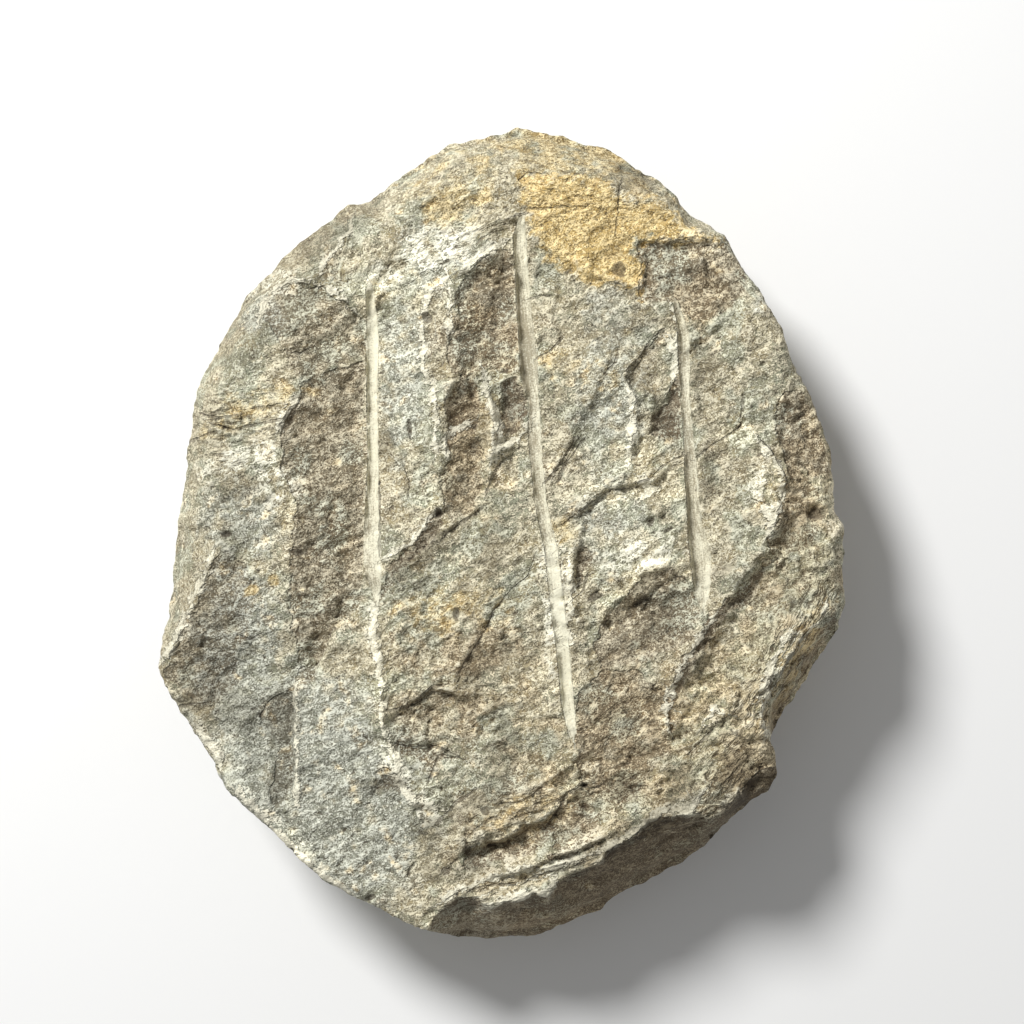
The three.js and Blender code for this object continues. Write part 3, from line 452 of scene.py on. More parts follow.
# Dark pits and holes: middle, half length, half width and bearing
pits = [
    (-18.1, 20.6, 2, 0.45, 92), (-2.9, -55, 0.9, 0.8, 0), (-47.9, -36, 1.2, 0.6, 60),
    (-31.3, -59, 0.7, 0.6, 0), (-41.9, -63.2, 0.8, 0.6, 0), (-8.9, -15.8, 1.1, 0.7, 80),
    (18.3, -12.6, 1.6, 0.9, 20), (29.7, 2.4, 1.4, 0.8, 60), (-54.3, -0.2, 1.3, 0.7, 0),
    (-40.1, -3.6, 1.2, 0.8, 0), (62.5, 3.8, 2.2, 1.2, 5), (-6.9, -62.6, 1.3, 0.9, 40),
    (16.5, -50, 0.9, 0.6, 0), (18.9, -50.2, 0.8, 0.5, 0), (-14.7, 42.6, 0.9, 1.4, 30),
    (31.7, 50.8, 0.4, 0.4, 0), (-47.9, -7.4, 0.5, 0.4, 0), (-31.1, -42, 0.3, 0.3, 0),
    (47.3, 21.2, 0.9, 0.4, 45), (23.3, 52.2, 1.5, 1.4, 90), (33.1, 0.8, 1.2, 0.5, 30),
    (-25.9, -72.4, 1.6, 0.8, 20), (-10.7, -67, 1.3, 0.7, 30), (20.9, -17.8, 1.1, 0.9, 0),
    (27.7, -13.4, 2, 1, 30), (45.3, 58.8, 0.8, 0.6, 40), (0.7, 32.2, 1.2, 0.5, 30), (-12.3, 4.2, 1, 1.2, 0),
]

# Where it is broken more coarsely, and where it is slate-grey and smoother: middle, half length, half width,
# bearing, strength
rugged_patches = [
    (46, -40, 22, 15, 45, 1), (8, -54, 26, 9, 15, 0.9), (24, -14, 14, 10, 20, 0.7), (58, 4, 26, 8, 95, 0.7),
    (-6, 22, 18, 9, 90, 0.6), (-52, 14, 12, 9, 0, 0.6), (-8, -34, 14, 10, 10, 0.8),
    (-14, 56, 20, 8, 20, 0.5), (30, 26, 10, 14, 0, 0.5),
]
slate_patches = [
    (-38.3, -49.4, 27, 19, 130, 1), (-52.3, -25.4, 20, 9, 90, 0.8), (-47.3, 43.6, 5, 5, 0, 0.7),
    (-13.3, 54.6, 8, 7, 0, 0.7), (-19.3, 30.6, 18, 5, 90, 0.7), (21.7, 26.6, 14, 7, 90, 0.7),
    (24, 44, 10, 7, 0, 0.5), (-23.5, -49.8, 5, 2.4, 10, 1), (-52, 2, 9, 9, 0, 0.6), (22, 2, 9, 9, 0, 0.5),
]


def in_oval(oval, x, y):
    """1 in the middle of an oval, a half on its edge and 0 well outside it."""
    return smooth(1.5 - np.hypot(*across_oval(oval, x, y)))


def patches(rows, x, y):
    """The strongest of these patches at each place."""
    most = np.zeros(x.shape)
    for *oval, strength in rows:
        most = np.maximum(most, strength * in_oval(oval, x, y))
    return most


def bedded(height, step):
    """The same height broken into laminae: treads this far apart with short risers between them."""
    share = height / step
    tread = np.floor(share)
    return (tread + smooth((share - tread - 0.72) / 0.28)) * step


# What roughens the upper face: its raggedness, the beds' waves, and the splinters, ridges and grain
raggedness = [(0.7, lumps, 3.5, 1, 15), (0.4, lumps, 1.2, 1, 16), (0.35, splinters, 2, 1.5, 17)]
waves = [(2.0, lumps, 15, 1.7, 21), (0.6, lumps, 6, 1.5, 22)]
broken_grain = [
    (0.36, splinters, 6, 1.7, 0), (0.26, splinters, 2.4, 1.6, 40), (0.16, splinters, 1.2, 1.4, 41),
    (0.22, ridges, 4, 3, 23), (0.16, ridges, 1.6, 2, 24), (0.12, lumps, 0.9, 1, 25),
]
lamina = 0.6
crack_depth, crack_slope = 0.3, 0.4
pit_depth = 0.7


def upper_face(x, y):
    """The height of the upper face, with all that is broken, cracked or sawn in it."""
    ragged = layered(raggedness, x, y)
    inside, deep, wall, _, plain = innermost_face(x, y)
    within = smooth((inside + ragged) / wall)
    bare = bare_upper_face(x, y) - deep * within
    for half_width, high, line in pale_crests:
        right, along, to_end, _ = nearest_on(line, x, y)
        top = np.clip(1 + ragged - abs(right + 0.6 * ragged) / (half_width + 0.6), 0, 1.4)
        bare = bare + high * top * smooth(along) * smooth(to_end)

    rugged = patches(rugged_patches, x, y)
    rough = 1 + 0.5 * rugged - 0.5 * np.maximum(plain * within, smooth(scarp_share(x, y)))
    rough = rough - 0.3 * patches(slate_patches, x, y)
    bed = layered(waves, x, y)
    height = bare + 0.15 * bed + (0.5 + 0.5 * rugged) * bedded(bed, lamina)
    height = height + rough * layered(broken_grain, x, y)

    for half_width, line in cracks:
        right, _, _, _ = nearest_on(line, x, y)
        open_share = 1 - abs(right + 0.3 * ragged) / (half_width + crack_slope)
        height = height - crack_depth * np.clip(open_share, 0, 1)
    for pit in pits:
        open_share = 1.3 - np.hypot(*across_oval(pit, x, y)) + 0.5 * ragged
        height = height - pit_depth * np.clip(open_share, 0, 1)

    right, along, depth, width, _ = nearest_kerf(x, y)
    half = width / 2 + 0.25 * lumps(x, y, 1.5, level=31)
    wall = smooth((half - abs(right)) / (0.42 * half + 0.01))
    floor = bare - depth + 0.25 * depth * (right / half) + 0.05 * lumps(right * 9, along, 3, level=32)
    return height + wall * (np.minimum(floor, height) - height) * smooth(depth / 0.3)


# The border is drawn as it shows from the viewer's place above the slab, where a low rim looks smaller
viewer_x, viewer_y, viewer_height = 2.1, 4.2, 510.0
rim_height = 27.0


def border_gap(x, y):
    """How far each place lies inside the ragged border."""
    shown = (viewer_height - rim_height) / (viewer_height - bare_upper_face(x, y))
    x, y = viewer_x + (x - viewer_x) * shown, viewer_y + (y - viewer_y) * shown
    return inside_of(outline, x, y) - 0.5 * lumps(x, y, 3.5, level=70) - 0.25 * lumps(x, y, 1.2, level=71)


def stations(line, step):
    """Places about this far apart along a line, with its further columns."""
    places = []
    for start, end in zip(line[:-1], line[1:]):
        count = max(1, round(math.hypot(*(end - start)[:2]) / step))
        places += [start + (end - start) * k / count for k in range(count)]
    return np.array([*places, line[-1]])


def loose_grid(step):
    """Places about this far apart in staggered rows, wider than the slab, each moved a little."""
    reach_x, reach_y = 70, 82
    x, y = np.meshgrid(np.arange(-reach_x, reach_x, step), np.arange(-reach_y, reach_y, step * 0.866))
    x[1::2] += step / 2
    x, y = x.ravel(), y.ravel()
    move = 0.25 * step
    return x + move * lumps(x, y, step * 2.3, level=80), y + move * lumps(x, y, step * 2.3, level=81)


def joined(ring, x, y, others=()):
    """Places on a ring, which come first, and within it, and the triangles between them."""
    loop = [(k, (k + 1) % len(ring)) for k in range(len(ring))]
    every = [Vector(place) for place in (*ring, *others, *np.stack([x, y], axis=-1))]
    found = geometry.delaunay_2d_cdt(every, loop, [], 1, 1e-7, False)
    places, triangles = np.array([tuple(place) for place in found[0]]), np.array(found[2])
    middles = places[triangles].mean(axis=1)
    inside = (triangles >= len(ring)).any(axis=1)
    inside[~inside] = inside_of(ring, *middles[~inside].T) > 0
    return places, triangles[inside]


# The upper face's corners: the border, rows along the kerfs' lips, walls and floors, and a loose grid
fine_step = 0.56
kerf_offsets = (-1.08, -0.9, -0.72, -0.3, 0.15, 0.6, 0.78, 0.94, 1.08)  # in half widths

ring = stations(np.vstack([outline, outline[:1]])[:, :2], fine_step)[:-1]
for _ in range(3):
    ring = ring * (1 + border_gap(*ring.T) / np.hypot(*ring.T))[:, None]

kerf_rows = []
for kerf in kerfs:
    row = stations(np.array(kerf), fine_step)
    for station, following in zip(row[:-1], row[1:]):
        ahead = (following - station)[:2] / math.hypot(*(following - station)[:2])
        right_hand = np.array([ahead[1], -ahead[0]])
        half = station[3] / 2 + 0.05
        kerf_rows += [station[:2] + right_hand * offset * half for offset in kerf_offsets]

x, y = loose_grid(fine_step)
right, _, _, width, _ = nearest_kerf(x, y)
free = (border_gap(x, y) > 0.5 * fine_step) & (abs(right) > width * 0.54 + 0.3)
places, top_faces = joined(ring, x[free], y[free], kerf_rows)
x, y = places.T
top = np.stack([x, y, upper_face(x, y)], axis=-1)

# The flank: beds of different strength below the rim, each broken back a little differently. How far down
# they lie is a share of the flank.
flank_beds = [[0, 0], [0.12, 0.7], [0.28, 1], [0.34, 2.6], [0.55, 2], [0.62, 4], [0.86, 5.6], [1, 8.5]]
flank_rows = 22
under_height = 1.3  # the slab's lower edge above the flats it rests on
deepest, blunting = 2.6, 0.35

rim_x, rim_y, rim_z = top[:len(ring)].T
flank = []
for row in range(1, flank_rows + 1):
    share = row / flank_rows
    z = rim_z + (under_height - rim_z) * share
    ease = np.clip(min(share, 1 - share) * 8, 0, 1)
    down = share + 0.05 * ease * lumps(rim_x, rim_y, 25, level=90)
    rough = 3 * abs(lumps(rim_x, rim_y + z, 14, level=50)) + 1.2 * splinters(rim_x + z, rim_y - z, 6, 1, 51)
    rough = rough + 0.9 * lumps(rim_x, rim_y + 3 * z, 4, level=52)
    rough = rough + 0.4 * lumps(rim_x, rim_y + 2 * z, 1.6, level=53)
    rough = np.maximum(deepest * np.tanh(rough / deepest), blunting * rough)
    back = np.interp(down, *np.transpose(flank_beds)) + rough * ease
    shrink = 1 - back / np.hypot(rim_x, rim_y)
    z = z + 0.4 * ease * lumps(rim_x, rim_y, 3, level=54 + 2 * z)
    flank.append(np.stack([rim_x * shrink, rim_y * shrink, z], axis=-1))

# The underside: flats on the ground, with shallow spalls between them
under_step = 1.5
spall_forms = [(4, lumps, 27, 1, 30), (0.5, splinters, 7, 1.7, 9), (0.15, lumps, 2.2, 1, 33)]
lower_rim = 9  # how far in the flats begin

lower_ring = flank[-1][:, :2]
x, y = loose_grid(under_step)
within = inside_of(lower_ring, x, y) > 0.5 * under_step
places, under_faces = joined(lower_ring, x[within], y[within])
x, y = places.T
rim = smooth(1 - inside_of(lower_ring, x, y) / lower_rim)
z = np.maximum(0, layered(spall_forms, x, y)) * (1 - rim) + under_height * rim
under = np.stack([x, y, z], axis=-1)

# One closed mesh of the face, the flank and the underside
corners = np.concatenate([top, *flank, under])
loops = [np.arange(len(ring))]
loops += [len(top) + row * len(ring) + loops[0] for row in range(flank_rows)]
faces = [tuple(face) for face in top_faces]
for upper, lower in zip(loops[:-1], loops[1:]):
    for a, b, c, d in zip(upper, np.roll(upper, -1), np.roll(lower, -1), lower):
        faces += [(a, b, c), (a, c, d)]
under_start = len(corners) - len(under)
faces += [tuple(under_start + corner for corner in reversed(face)) for face in under_faces]

mesh = bpy.data.meshes.new("stone_slab_rough")
mesh.from_pydata(corners * MM, [], faces)
sewing = bmesh.new()
sewing.from_mesh(mesh)
bmesh.ops.remove_doubles(sewing, verts=sewing.verts, dist=1e-7)
bmesh.ops.recalc_face_normals(sewing, faces=sewing.faces)
sewing.to_mesh(mesh)
sewing.free()
mesh.polygons.foreach_set("use_smooth", [True] * len(mesh.polygons))

slab = bpy.data.objects.new("stone_slab_rough", mesh)
bpy.context.scene.collection.objects.link(slab)
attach(slab, "root")
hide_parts("stone_slab")

# Where the stone changes colour: middle, half length, half width, bearing, strength
brown_patches = [
    (-4.3, 38.6, 9, 5, 0, 0.8), (24.7, -38.4, 14, 12, 30, 0.5), (-14.3, -38.4, 12, 8, 0, 0.6),
    (7.7, -53.4, 22, 9, 20, 0.6), (48, -50, 12, 7, 45, 0.8), (-8, -22, 14, 9, 10, 0.6),
    (60, -14, 10, 12, 90, 0.5), (-34, -6, 10, 8, 90, 0.4), (-14.3, -33, 6, 3, 20, 0.8),
    (12, -47, 14, 6, 25, 0.4),
]
cream_patches = [
    (-11.8, 57.4, 8, 4, 15, 1), (-23.9, 51.2, 4, 2.4, 0, 0.9), (-46.3, 48.4, 7, 3.5, 30, 0.7),
    (-51.3, 14.4, 9, 3.6, 10, 1), (-44.3, 9, 4.5, 5, 90, 0.8), (-25.8, -19.2, 5, 1.4, 90, 0.9),
    (-20.3, -47.5, 7, 2, 125, 1.3), (-14.5, -56, 6, 2, 130, 1.2), (28.7, -3.2, 9, 3.6, 15, 1),
    (14.2, -9.4, 8, 1.4, 90, 0.7), (25.9, 20.8, 7, 1.2, 95, 0.8), (34.7, -53.4, 5, 1.3, 10, 0.9),
    (51.2, 45.2, 2.5, 1.6, 60, 0.8), (66.6, 3, 8, 2, 90, 0.9), (-42.8, -60, 13, 2.6, 130, 0.7),
    (-59.3, -42.4, 4, 2, 120, 0.8), (52.8, -33.8, 3, 1, 60, 0.8), (52.8, -39.6, 2.2, 1.2, 60, 0.8),
    (51, 11, 9, 1.6, 60, 0.8), (9.5, -17, 16, 1.8, 95, 0.9), (-3, -66, 12, 2.6, 12, 0.8),
    (15.5, -62.5, 6, 2.4, 35, 0.9), (-1, 16, 7, 1.1, 100, 0.8), (46.7, -34, 1.5, 1, 30, 1.3),
    (42.1, -36.6, 3, 1.1, 35, 1.2), (49.3, -37, 2, 1.3, 60, 1),
]
ochre_patches = [
    (-47.3, 26, 9, 3.4, 10, 0.6), (-56.3, 20.4, 4.5, 1.8, 10, 0.7), (-9, -15, 13, 5, 12, 0.62),
    (10.7, 33.6, 4, 5, 90, 0.42), (11.7, 0.2, 4, 3, 0, 0.6), (3.7, -55.4, 9, 4, 10, 0.5),
    (-8.3, 65.6, 8, 5, 20, 0.75), (-8.3, 72, 11, 6, 25, 0.55), (10, 73, 12, 5, -10, 0.7),
    (12, 77, 16, 5, -12, 0.8), (29, 70, 9, 5, -42, 0.55), (57, -27, 15, 4, 62, 0.5),
    (20, 31, 5, 4, 60, 0.4), (-44.9, -9, 1.2, 1.2, 0, 0.9), (-49.3, -11.4, 1.6, 1, 0, 0.8),
]
# The sheet of ochre, from corner to corner
ochre_outline = [
    [1.7, 71.6], [11.7, 72], [20, 70.4], [25.6, 66], [31.7, 66.2], [36.7, 62.4], [39.7, 59.2], [46.9, 58.2],
    [26.9, 57.4], [28.3, 53], [27.5, 46.8], [23.7, 48.8], [20.5, 48.6], [17, 49.4], [13.5, 51.8], [9, 53.8],
    [7, 57.6], [5.3, 61.6],
]
# Where it is warmer in hue
warm_patches = [
    (52, -34, 22, 15, 50, 1), (24, -70, 30, 8, 32, 1), (25, -42, 20, 16, 20, 0.8), (60, 0, 24, 9, 90, 0.8),
    (-6, -28, 16, 12, 20, 0.5), (10, -60, 26, 8, 20, 0.6), (-2, 40, 12, 8, 90, 0.6),
    (-5, 15, 14, 8, 90, 0.7), (35, 47, 12, 8, 0, 0.5), (-33, 14, 28, 7, 88, 0.25),
]
# Where it is paler altogether, or darker below 0: partly the stone's own tone, partly painted light and
# painted shade, such as painted shadow below the ledges at the front
tone_and_shade_patches = [
    (-19, 32, 16, 6, 90, 0.4), (30, -2, 8, 4, 15, 0.4), (-38, -50, 26, 20, 130, 0.2),
    (30, -66, 24, 6, 33, -0.4), (-46, 46, 22, 8, 48, -0.7), (-12, 71, 20, 8, 20, -0.4),
    (18, 74, 18, 5, -15, -0.4), (44, 52, 16, 6, -45, -0.4), (-58, 16, 12, 10, 90, -0.5),
    (-40, 14, 20, 4, 90, -0.3), (-60, -20, 22, 10, 100, -0.6), (14, 24, 10, 14, 90, -0.3),
    (-50, 8, 6, 3.5, 0, -0.6), (-48, -36, 15, 5, -10, -0.6), (-46, -51, 4, 3, 0, -0.6),
    (-8, -67, 9, 2, 5, -0.9), (-14, -59, 3, 2.5, 0, -0.7), (22, -61.5, 14, 2.2, 32, -1),
    (34, -54, 5, 3, 30, -0.9), (24, -50, 4, 3, 0, -0.8), (47, -48, 5, 4, 60, -1.3),
    (0.5, -43, 8, 3, 80, -0.8), (-6, -28, 9, 3, 80, -0.7), (-1.5, -2, 10, 3, 88, -0.7),
    (-16, -4, 7, 2, 42, -0.9), (-5, 20, 5, 2.5, 90, -0.6), (-21, 30, 4, 3, 0, -0.5),
    (-23, 18, 2.5, 3, 90, -0.8), (-36, 33, 3, 4, 0, -0.5), (-36, 59, 6, 3, 40, -0.8),
    (26, 71, 4, 3, -40, -0.7), (22, 56, 2, 2, 0, -0.6), (20, 40, 7, 4, 0, -0.5), (40, 33, 5, 3, 60, -0.8),
    (41, 11, 7, 1.6, 90, -0.8), (45, -8, 4, 2.5, 0, -0.5), (57, -12, 4, 4, 0, -0.5),
    (30, -19, 8, 3, 35, -0.8), (19, -26, 3, 2, 20, -0.7), (23, -36, 4, 3, 0, -0.6),
    (-6, 57, 3, 2.5, 0, -0.5), (-6, 67, 4, 2.5, 0, 0.9), (-27, 48, 5, 3, 90, 0.9), (-17, 52, 8, 6, 20, 0.5),
    (-5, 42, 4, 2.5, 0, 0.7), (40, 57, 9, 3, -20, 0.9), (51, 44, 10, 3, -60, 0.7), (-14, 7, 3, 3, 0, 0.9),
    (-41, 5, 3, 2.5, 0, 0.9), (-31, -2, 4, 2.5, 90, 0.7), (-23, -33, 5, 2, 90, 1.2),
    (-22, -43, 4, 2, -20, 0.7), (-41, -62, 4, 2, 135, 1), (-13, -51, 5, 2, 0, 0.6), (12, -50, 5, 4, 90, 1),
    (10, -30, 6, 4, 20, 0.5), (38, -34, 9, 3, 45, 0.8), (22, 27, 4, 4, 0, 0.6), (25, 16, 7, 4, 0, 0.9),
    (20, 7, 7, 3, 0, 0.8), (34, 9, 4, 5, 0, 0.7), (25, -12, 8, 3, 50, 1.2), (-10, -5, 2.5, 2, 0, 0.8),
    (14, -6, 4, 2, 90, 0.7), (35, -8, 6, 3, 0, 0.7), (47, 20, 4, 3, 0, 0.9), (54, 9, 4, 4, 0, 0.6),
    (64, 7, 5, 3, 90, 0.9), (62, -21, 3, 3, 0, 0.8), (0, -78, 22, 3, 0, 1), (24, -71, 14, 3, 33, 0.5),
    (-53, -3, 5, 3, 80, -0.7), (-28, 64, 5, 3, 45, -0.5), (-14, 30.5, 3, 2, 20, -0.7),
    (-24, 18, 6, 3, 90, -0.4), (36, -49, 3, 3, 0, -0.9), (46, -52, 4, 3, 60, -0.8),
    (1, -24, 4, 3, 30, -0.6), (-42, -32, 4, 3, 0, -0.5), (-10, -56, 12, 4, 25, -0.6),
    (8, -41, 6, 3, 20, -0.5), (-20, -7.5, 2, 2, 0, -0.8), (39, -24, 6, 2.5, 60, -0.6),
    (55, 17, 2, 3, 0, -0.7), (25, 9, 6, 3, 0, 0.6), (52, -7, 5, 2, 60, 0.8), (-42, -2, 6, 2, 90, 0.7),
    (-23, -24, 8, 3, 90, 0.6), (-12, -14, 7, 3, 70, 0.5), (28, 24, 3, 3, 0, 0.6),
    (-41, -62, 4, 2, 135, 0.5), (-2, 54, 6, 2.5, 40, 0.6), (-44.3, -42, 11, 2.6, 88, -0.8),
    (-23.5, -49.8, 5, 2, 10, -1), (22, -12, 3, 2, 40, 0.6), (62, -21, 3, 2.5, 50, 0.5),
]
# Where the broken edges of thin laminae show as lines
strata_patches = [
    (7.7, -67.8, 20, 2.8, 19, 1), (35.7, -56.4, 9, 2, 20, 1), (56, -25, 18, 6, 62, 1.3),
    (-51.3, 24.2, 11, 5, 8, 0.8), (-10.3, 56.6, 11, 5, 30, 1), (-55.3, 42.6, 8, 3, 50, 0.7),
    (17.7, 68.6, 16, 8, -8, 0.6), (44.7, -46.4, 9, 7, 50, 0.8), (23.7, -33.4, 14, 10, 60, 0.4),
    (-50.3, 16.6, 10, 4, 15, 0.6), (-14, 70, 10, 6, 20, 0.6), (62, 2, 12, 4, 100, 0.6),
    (4, -55, 14, 5, 18, 0.7), (-30, 55, 6, 6, 75, 0.6),
]


def read(items, name, columns, kind):
    """One property of all the mesh's corners or edges, a row for each."""
    values = np.empty(columns * len(items), kind)
    items.foreach_get(name, values)
    return values.reshape(-1, columns)


corners = read(mesh.vertices, "co", 3, np.float32).astype(float) / MM
normals = read(mesh.vertices, "normal", 3, np.float32)
links = read(mesh.edges, "vertices", 2, np.int32)
neighbours = np.bincount(links.ravel(), minlength=len(corners))
x, y, z = corners.T


def standing_out(times):
    """How far each corner stands out of the surface, softened this many times."""
    soft = corners.copy()
    for _ in range(times):
        total = [np.bincount(links[:, 0], soft[links[:, 1], axis], len(soft)) +
                 np.bincount(links[:, 1], soft[links[:, 0], axis], len(soft)) for axis in range(3)]
        soft = (soft + np.stack(total, axis=-1) / neighbours[:, None]) / 2
    return ((corners - soft) * normals).sum(axis=1)


def clouds(width, octaves, level):
    """Soft noise of about -0.5 to 0.5 all round the slab, with lumps of this width and finer ones."""
    places = (corners + level * 31) / width
    return sum(np.array([noise.noise(place) for place in places * 2 ** k]) * 0.5 * 0.6 ** k
               for k in range(octaves))


def nearest_line(lines, most):
    """Distance to the right of the nearest of these lines, up to this far, and its half width."""
    best = [np.full(len(x), 99.0), np.full(len(x), 0.3)]
    for half_width, line in lines:
        right, _, _, _ = nearest_on(line, x, y)
        best = kept_where((abs(right) < most) & (abs(right) < abs(best[0])), (right, half_width), best)
    return best


def nearest_strata():
    """How strongly the laminae show at each corner, and the place along and across them."""
    best = [np.zeros(len(x)) for _ in range(3)]
    for *oval, strength in strata_patches:
        x0, y0, _, _, bearing = oval
        along, across = turned(x - x0, y - y0, bearing)
        share = strength * in_oval(oval, x, y)
        best = kept_where(share > best[0], (share, along, across + 0.2 * z), best)
    return best


# What each corner of the mesh knows about its place: distances in millimetres, and shares of each colour
crack_right, crack_half = nearest_line(cracks, 2)
crest_right, crest_half = nearest_line([(half_width, line) for half_width, _, line in pale_crests], 3)
face_inside, _, _, face_brown, face_plain = innermost_face(x, y)
kerf_right, kerf_along, _, kerf_width, kerf_pale = nearest_kerf(x, y)
strata, strata_along, strata_across = nearest_strata()
fields = {
    "crack_right": crack_right,
    "crack_half": crack_half,
    "crest_right": crest_right,
    "crest_half": crest_half,
    "face_inside": np.clip(face_inside, -3, 6),
    "face_brown": face_brown,
    "face_plain": face_plain,
    "scarp": np.clip(scarp_share(x, y) - 9 * smooth((10 - z) / 6), -3, 6),
    "rim_gap": np.clip(inside_of(outline, x, y), -2, 12),
    "kerf_right": np.where(normals[:, 2] > 0.1, kerf_right, 99),
    "kerf_along": kerf_along,
    "kerf_half": kerf_width / 2,
    "kerf_pale": kerf_pale,
    "pit": np.maximum(0, 1.5 - np.min([np.hypot(*across_oval(pit, x, y)) for pit in pits], axis=0)),
    "strata": strata,
    "strata_along": strata_along,
    "strata_across": strata_across,
    "fine_relief": standing_out(3),
    "broad_relief": standing_out(40),
    "ragged": clouds(4, 3, 60),
    "mottle": clouds(9, 4, 61),
    "stains": clouds(4.5, 3, 62),
    "clustering": clouds(2.5, 2, 63),
    "brown": patches(brown_patches, x, y),
    "slate": patches(slate_patches, x, y),
    "cream": patches(cream_patches, x, y),
    "ochre": patches(ochre_patches, x, y),
    "ochre_inside": np.clip(inside_of(ochre_outline, x, y), -6, 6),
    "warm": patches(warm_patches, x, y),
    "tone_and_shade": sum(strength * in_oval(oval, x, y) for *oval, strength in tone_and_shade_patches),
}
for name, values in fields.items():
    mesh.attributes.new(name, "FLOAT", "POINT").data.foreach_set("value", values.astype(np.float32))


def feed(tree, place, value):
    """Sets a node's input, or links it where the value is a socket."""
    if isinstance(value, Socket):
        tree.links.new(value.socket, place)
    else:
        place.default_value = value


class Socket:
    """A shader socket that ordinary sums can be written with."""

    def __init__(self, tree, socket):
        self.tree, self.socket = tree, socket

    def sum(self, operation, *values):
        node = self.tree.nodes.new("ShaderNodeMath")
        node.operation = operation
        for place, value in zip(node.inputs, values):
            feed(self.tree, place, value)
        return Socket(self.tree, node.outputs[0])

    def __add__(self, other):
        return self.sum("ADD", self, other)

    def __sub__(self, other):
        return self.sum("SUBTRACT", self, other)

    def __rsub__(self, other):
        return self.sum("SUBTRACT", other, self)

    def __mul__(self, other):
        return self.sum("MULTIPLY", self, other)

    def __truediv__(self, other):
        return self.sum("DIVIDE", self, other)

    def __abs__(self):
        return self.sum("ABSOLUTE", self)

    __radd__ = __add__
    __rmul__ = __mul__


class Stone:
    """The nodes of one material."""

    def __init__(self, name):
        self.material = bpy.data.materials.new(name)
        self.material.use_nodes = True
        self.tree = self.material.node_tree
        self.shader = self.tree.nodes["Principled BSDF"]

    def node(self, kind, settings, output, **values):
        """A node's output by name. An input's name has _ for each space."""
        node = self.tree.nodes.new(kind)
        for name, setting in settings.items():
            setattr(node, name, setting)
        for name, value in values.items():
            place = next(place for place in node.inputs
                         if place.enabled and place.name.replace(" ", "_") == name)
            feed(self.tree, place, value)
        return Socket(self.tree, next(socket for socket in node.outputs
                                      if socket.enabled and socket.name == output))

    def field(self, name):
        """What the mesh's corners know under this name."""
        return self.node("ShaderNodeAttribute", {"attribute_name": name}, "Fac")

    def between(self, value, low, high):
        """0 at low, 1 at high, and smooth between."""
        return self.node("ShaderNodeMapRange", {"interpolation_type": "SMOOTHSTEP"}, "Result", Value=value,
                         From_Min=low, From_Max=high)

    def noise(self, place, width, detail=2.0, roughness=0.5, distortion=0.0):
        return self.node("ShaderNodeTexNoise", {}, "Fac", Vector=place, Scale=1 / width, Detail=detail,
                         Roughness=roughness, Distortion=distortion)

    def vector(self, x, y):
        return self.node("ShaderNodeCombineXYZ", {}, "Vector", X=x, Y=y)

    def mix(self, share, one, other, blend="MIX"):
        return self.node("ShaderNodeMix", {"data_type": "RGBA", "blend_type": blend}, "Result",
                         Factor=share, A=one, B=other)

    def coated(self, colour, *coats):
        """A colour with these coats over it in turn, each with its share and its own colour."""
        for share, coat in coats:
            colour = self.mix(share, colour, coat)
        return colour

    def filtered(self, share, colour, glass):
        """A colour seen through this share of coloured glass."""
        return self.mix(share, colour, self.mix(1.0, colour, glass, "MULTIPLY"))


def paint(red, green, blue):
    """A colour given as it looks on a screen, from 0 to 255."""
    shares = [c / 255 for c in (red, green, blue)]
    return (*[c / 12.92 if c < 0.04 else ((c + 0.055) / 1.055) ** 2.4 for c in shares], 1)


# Places in millimetres, and along the fabric, where they count for less
rock = Stone("limestone")
place = rock.node("ShaderNodeVectorMath", {"operation": "SCALE"}, "Vector",
                  Vector=rock.node("ShaderNodeTexCoord", {}, "Object"), Scale=1000.0)
grain = rock.node("ShaderNodeMapping", {"vector_type": "TEXTURE"}, "Vector", Vector=place,
                  Rotation=(0, 0, math.radians(fabric_bearing)), Scale=(1.5, 1, 1))

# The shares of each kind of stone, with ragged edges
ragged = rock.field("ragged")
finely_ragged = rock.noise(grain, 1.8, 2.5, 0.65) - 0.5
face = rock.between(rock.field("face_inside") + finely_ragged * 2.2 + ragged * 1.8, -0.15, 0.45)
scarp = rock.between(rock.field("scarp") + finely_ragged * 1.6, -0.15, 0.5)
plain = face * rock.field("face_plain") + scarp * 0.5
# The sunk faces' and the scarp's brownness, which above about 0.9 also paints shade on them
face_brown = face * rock.field("face_brown") + scarp * 1.25
brown = rock.between(rock.field("brown") + ragged * 1.6, 0.1, 0.8) * 0.7
brown = brown + face_brown * (1 - brown)
slate = rock.between(rock.field("slate") + (finely_ragged + ragged) * 1.2, 0.1, 0.9)
cream = rock.between(rock.field("cream") + (finely_ragged + ragged) * 2.0, 0.35, 1.05)
ochre = rock.between(rock.field("ochre") + finely_ragged * 1.6 + ragged, 0.2, 1.0)
ochre_sheet = rock.between(rock.field("ochre_inside") + finely_ragged * 9, -0.6, 1.6)
fine_relief = rock.field("fine_relief")
broad_relief = rock.field("broad_relief")
tone_and_shade = rock.field("tone_and_shade")

# The ground between the grains: grey-olive, mottled with tan and green
mottle = rock.field("mottle")
stains = rock.field("stains") + finely_ragged * 0.1
ground = rock.mix(rock.between(mottle, -0.15, 0.15), paint(156, 146, 118), paint(146, 144, 119))
ground = rock.coated(
    ground,
    (rock.between(stains, 0.05, 0.3) * 0.45, paint(166, 149, 108)),
    (rock.between(stains, -0.05, -0.3) * 0.45, paint(138, 146, 127)),
    (slate, paint(142, 143, 127)),
    (brown, paint(119, 106, 84)),
    (ochre, paint(164, 143, 96)),
    (ochre_sheet, paint(186, 158, 98)))

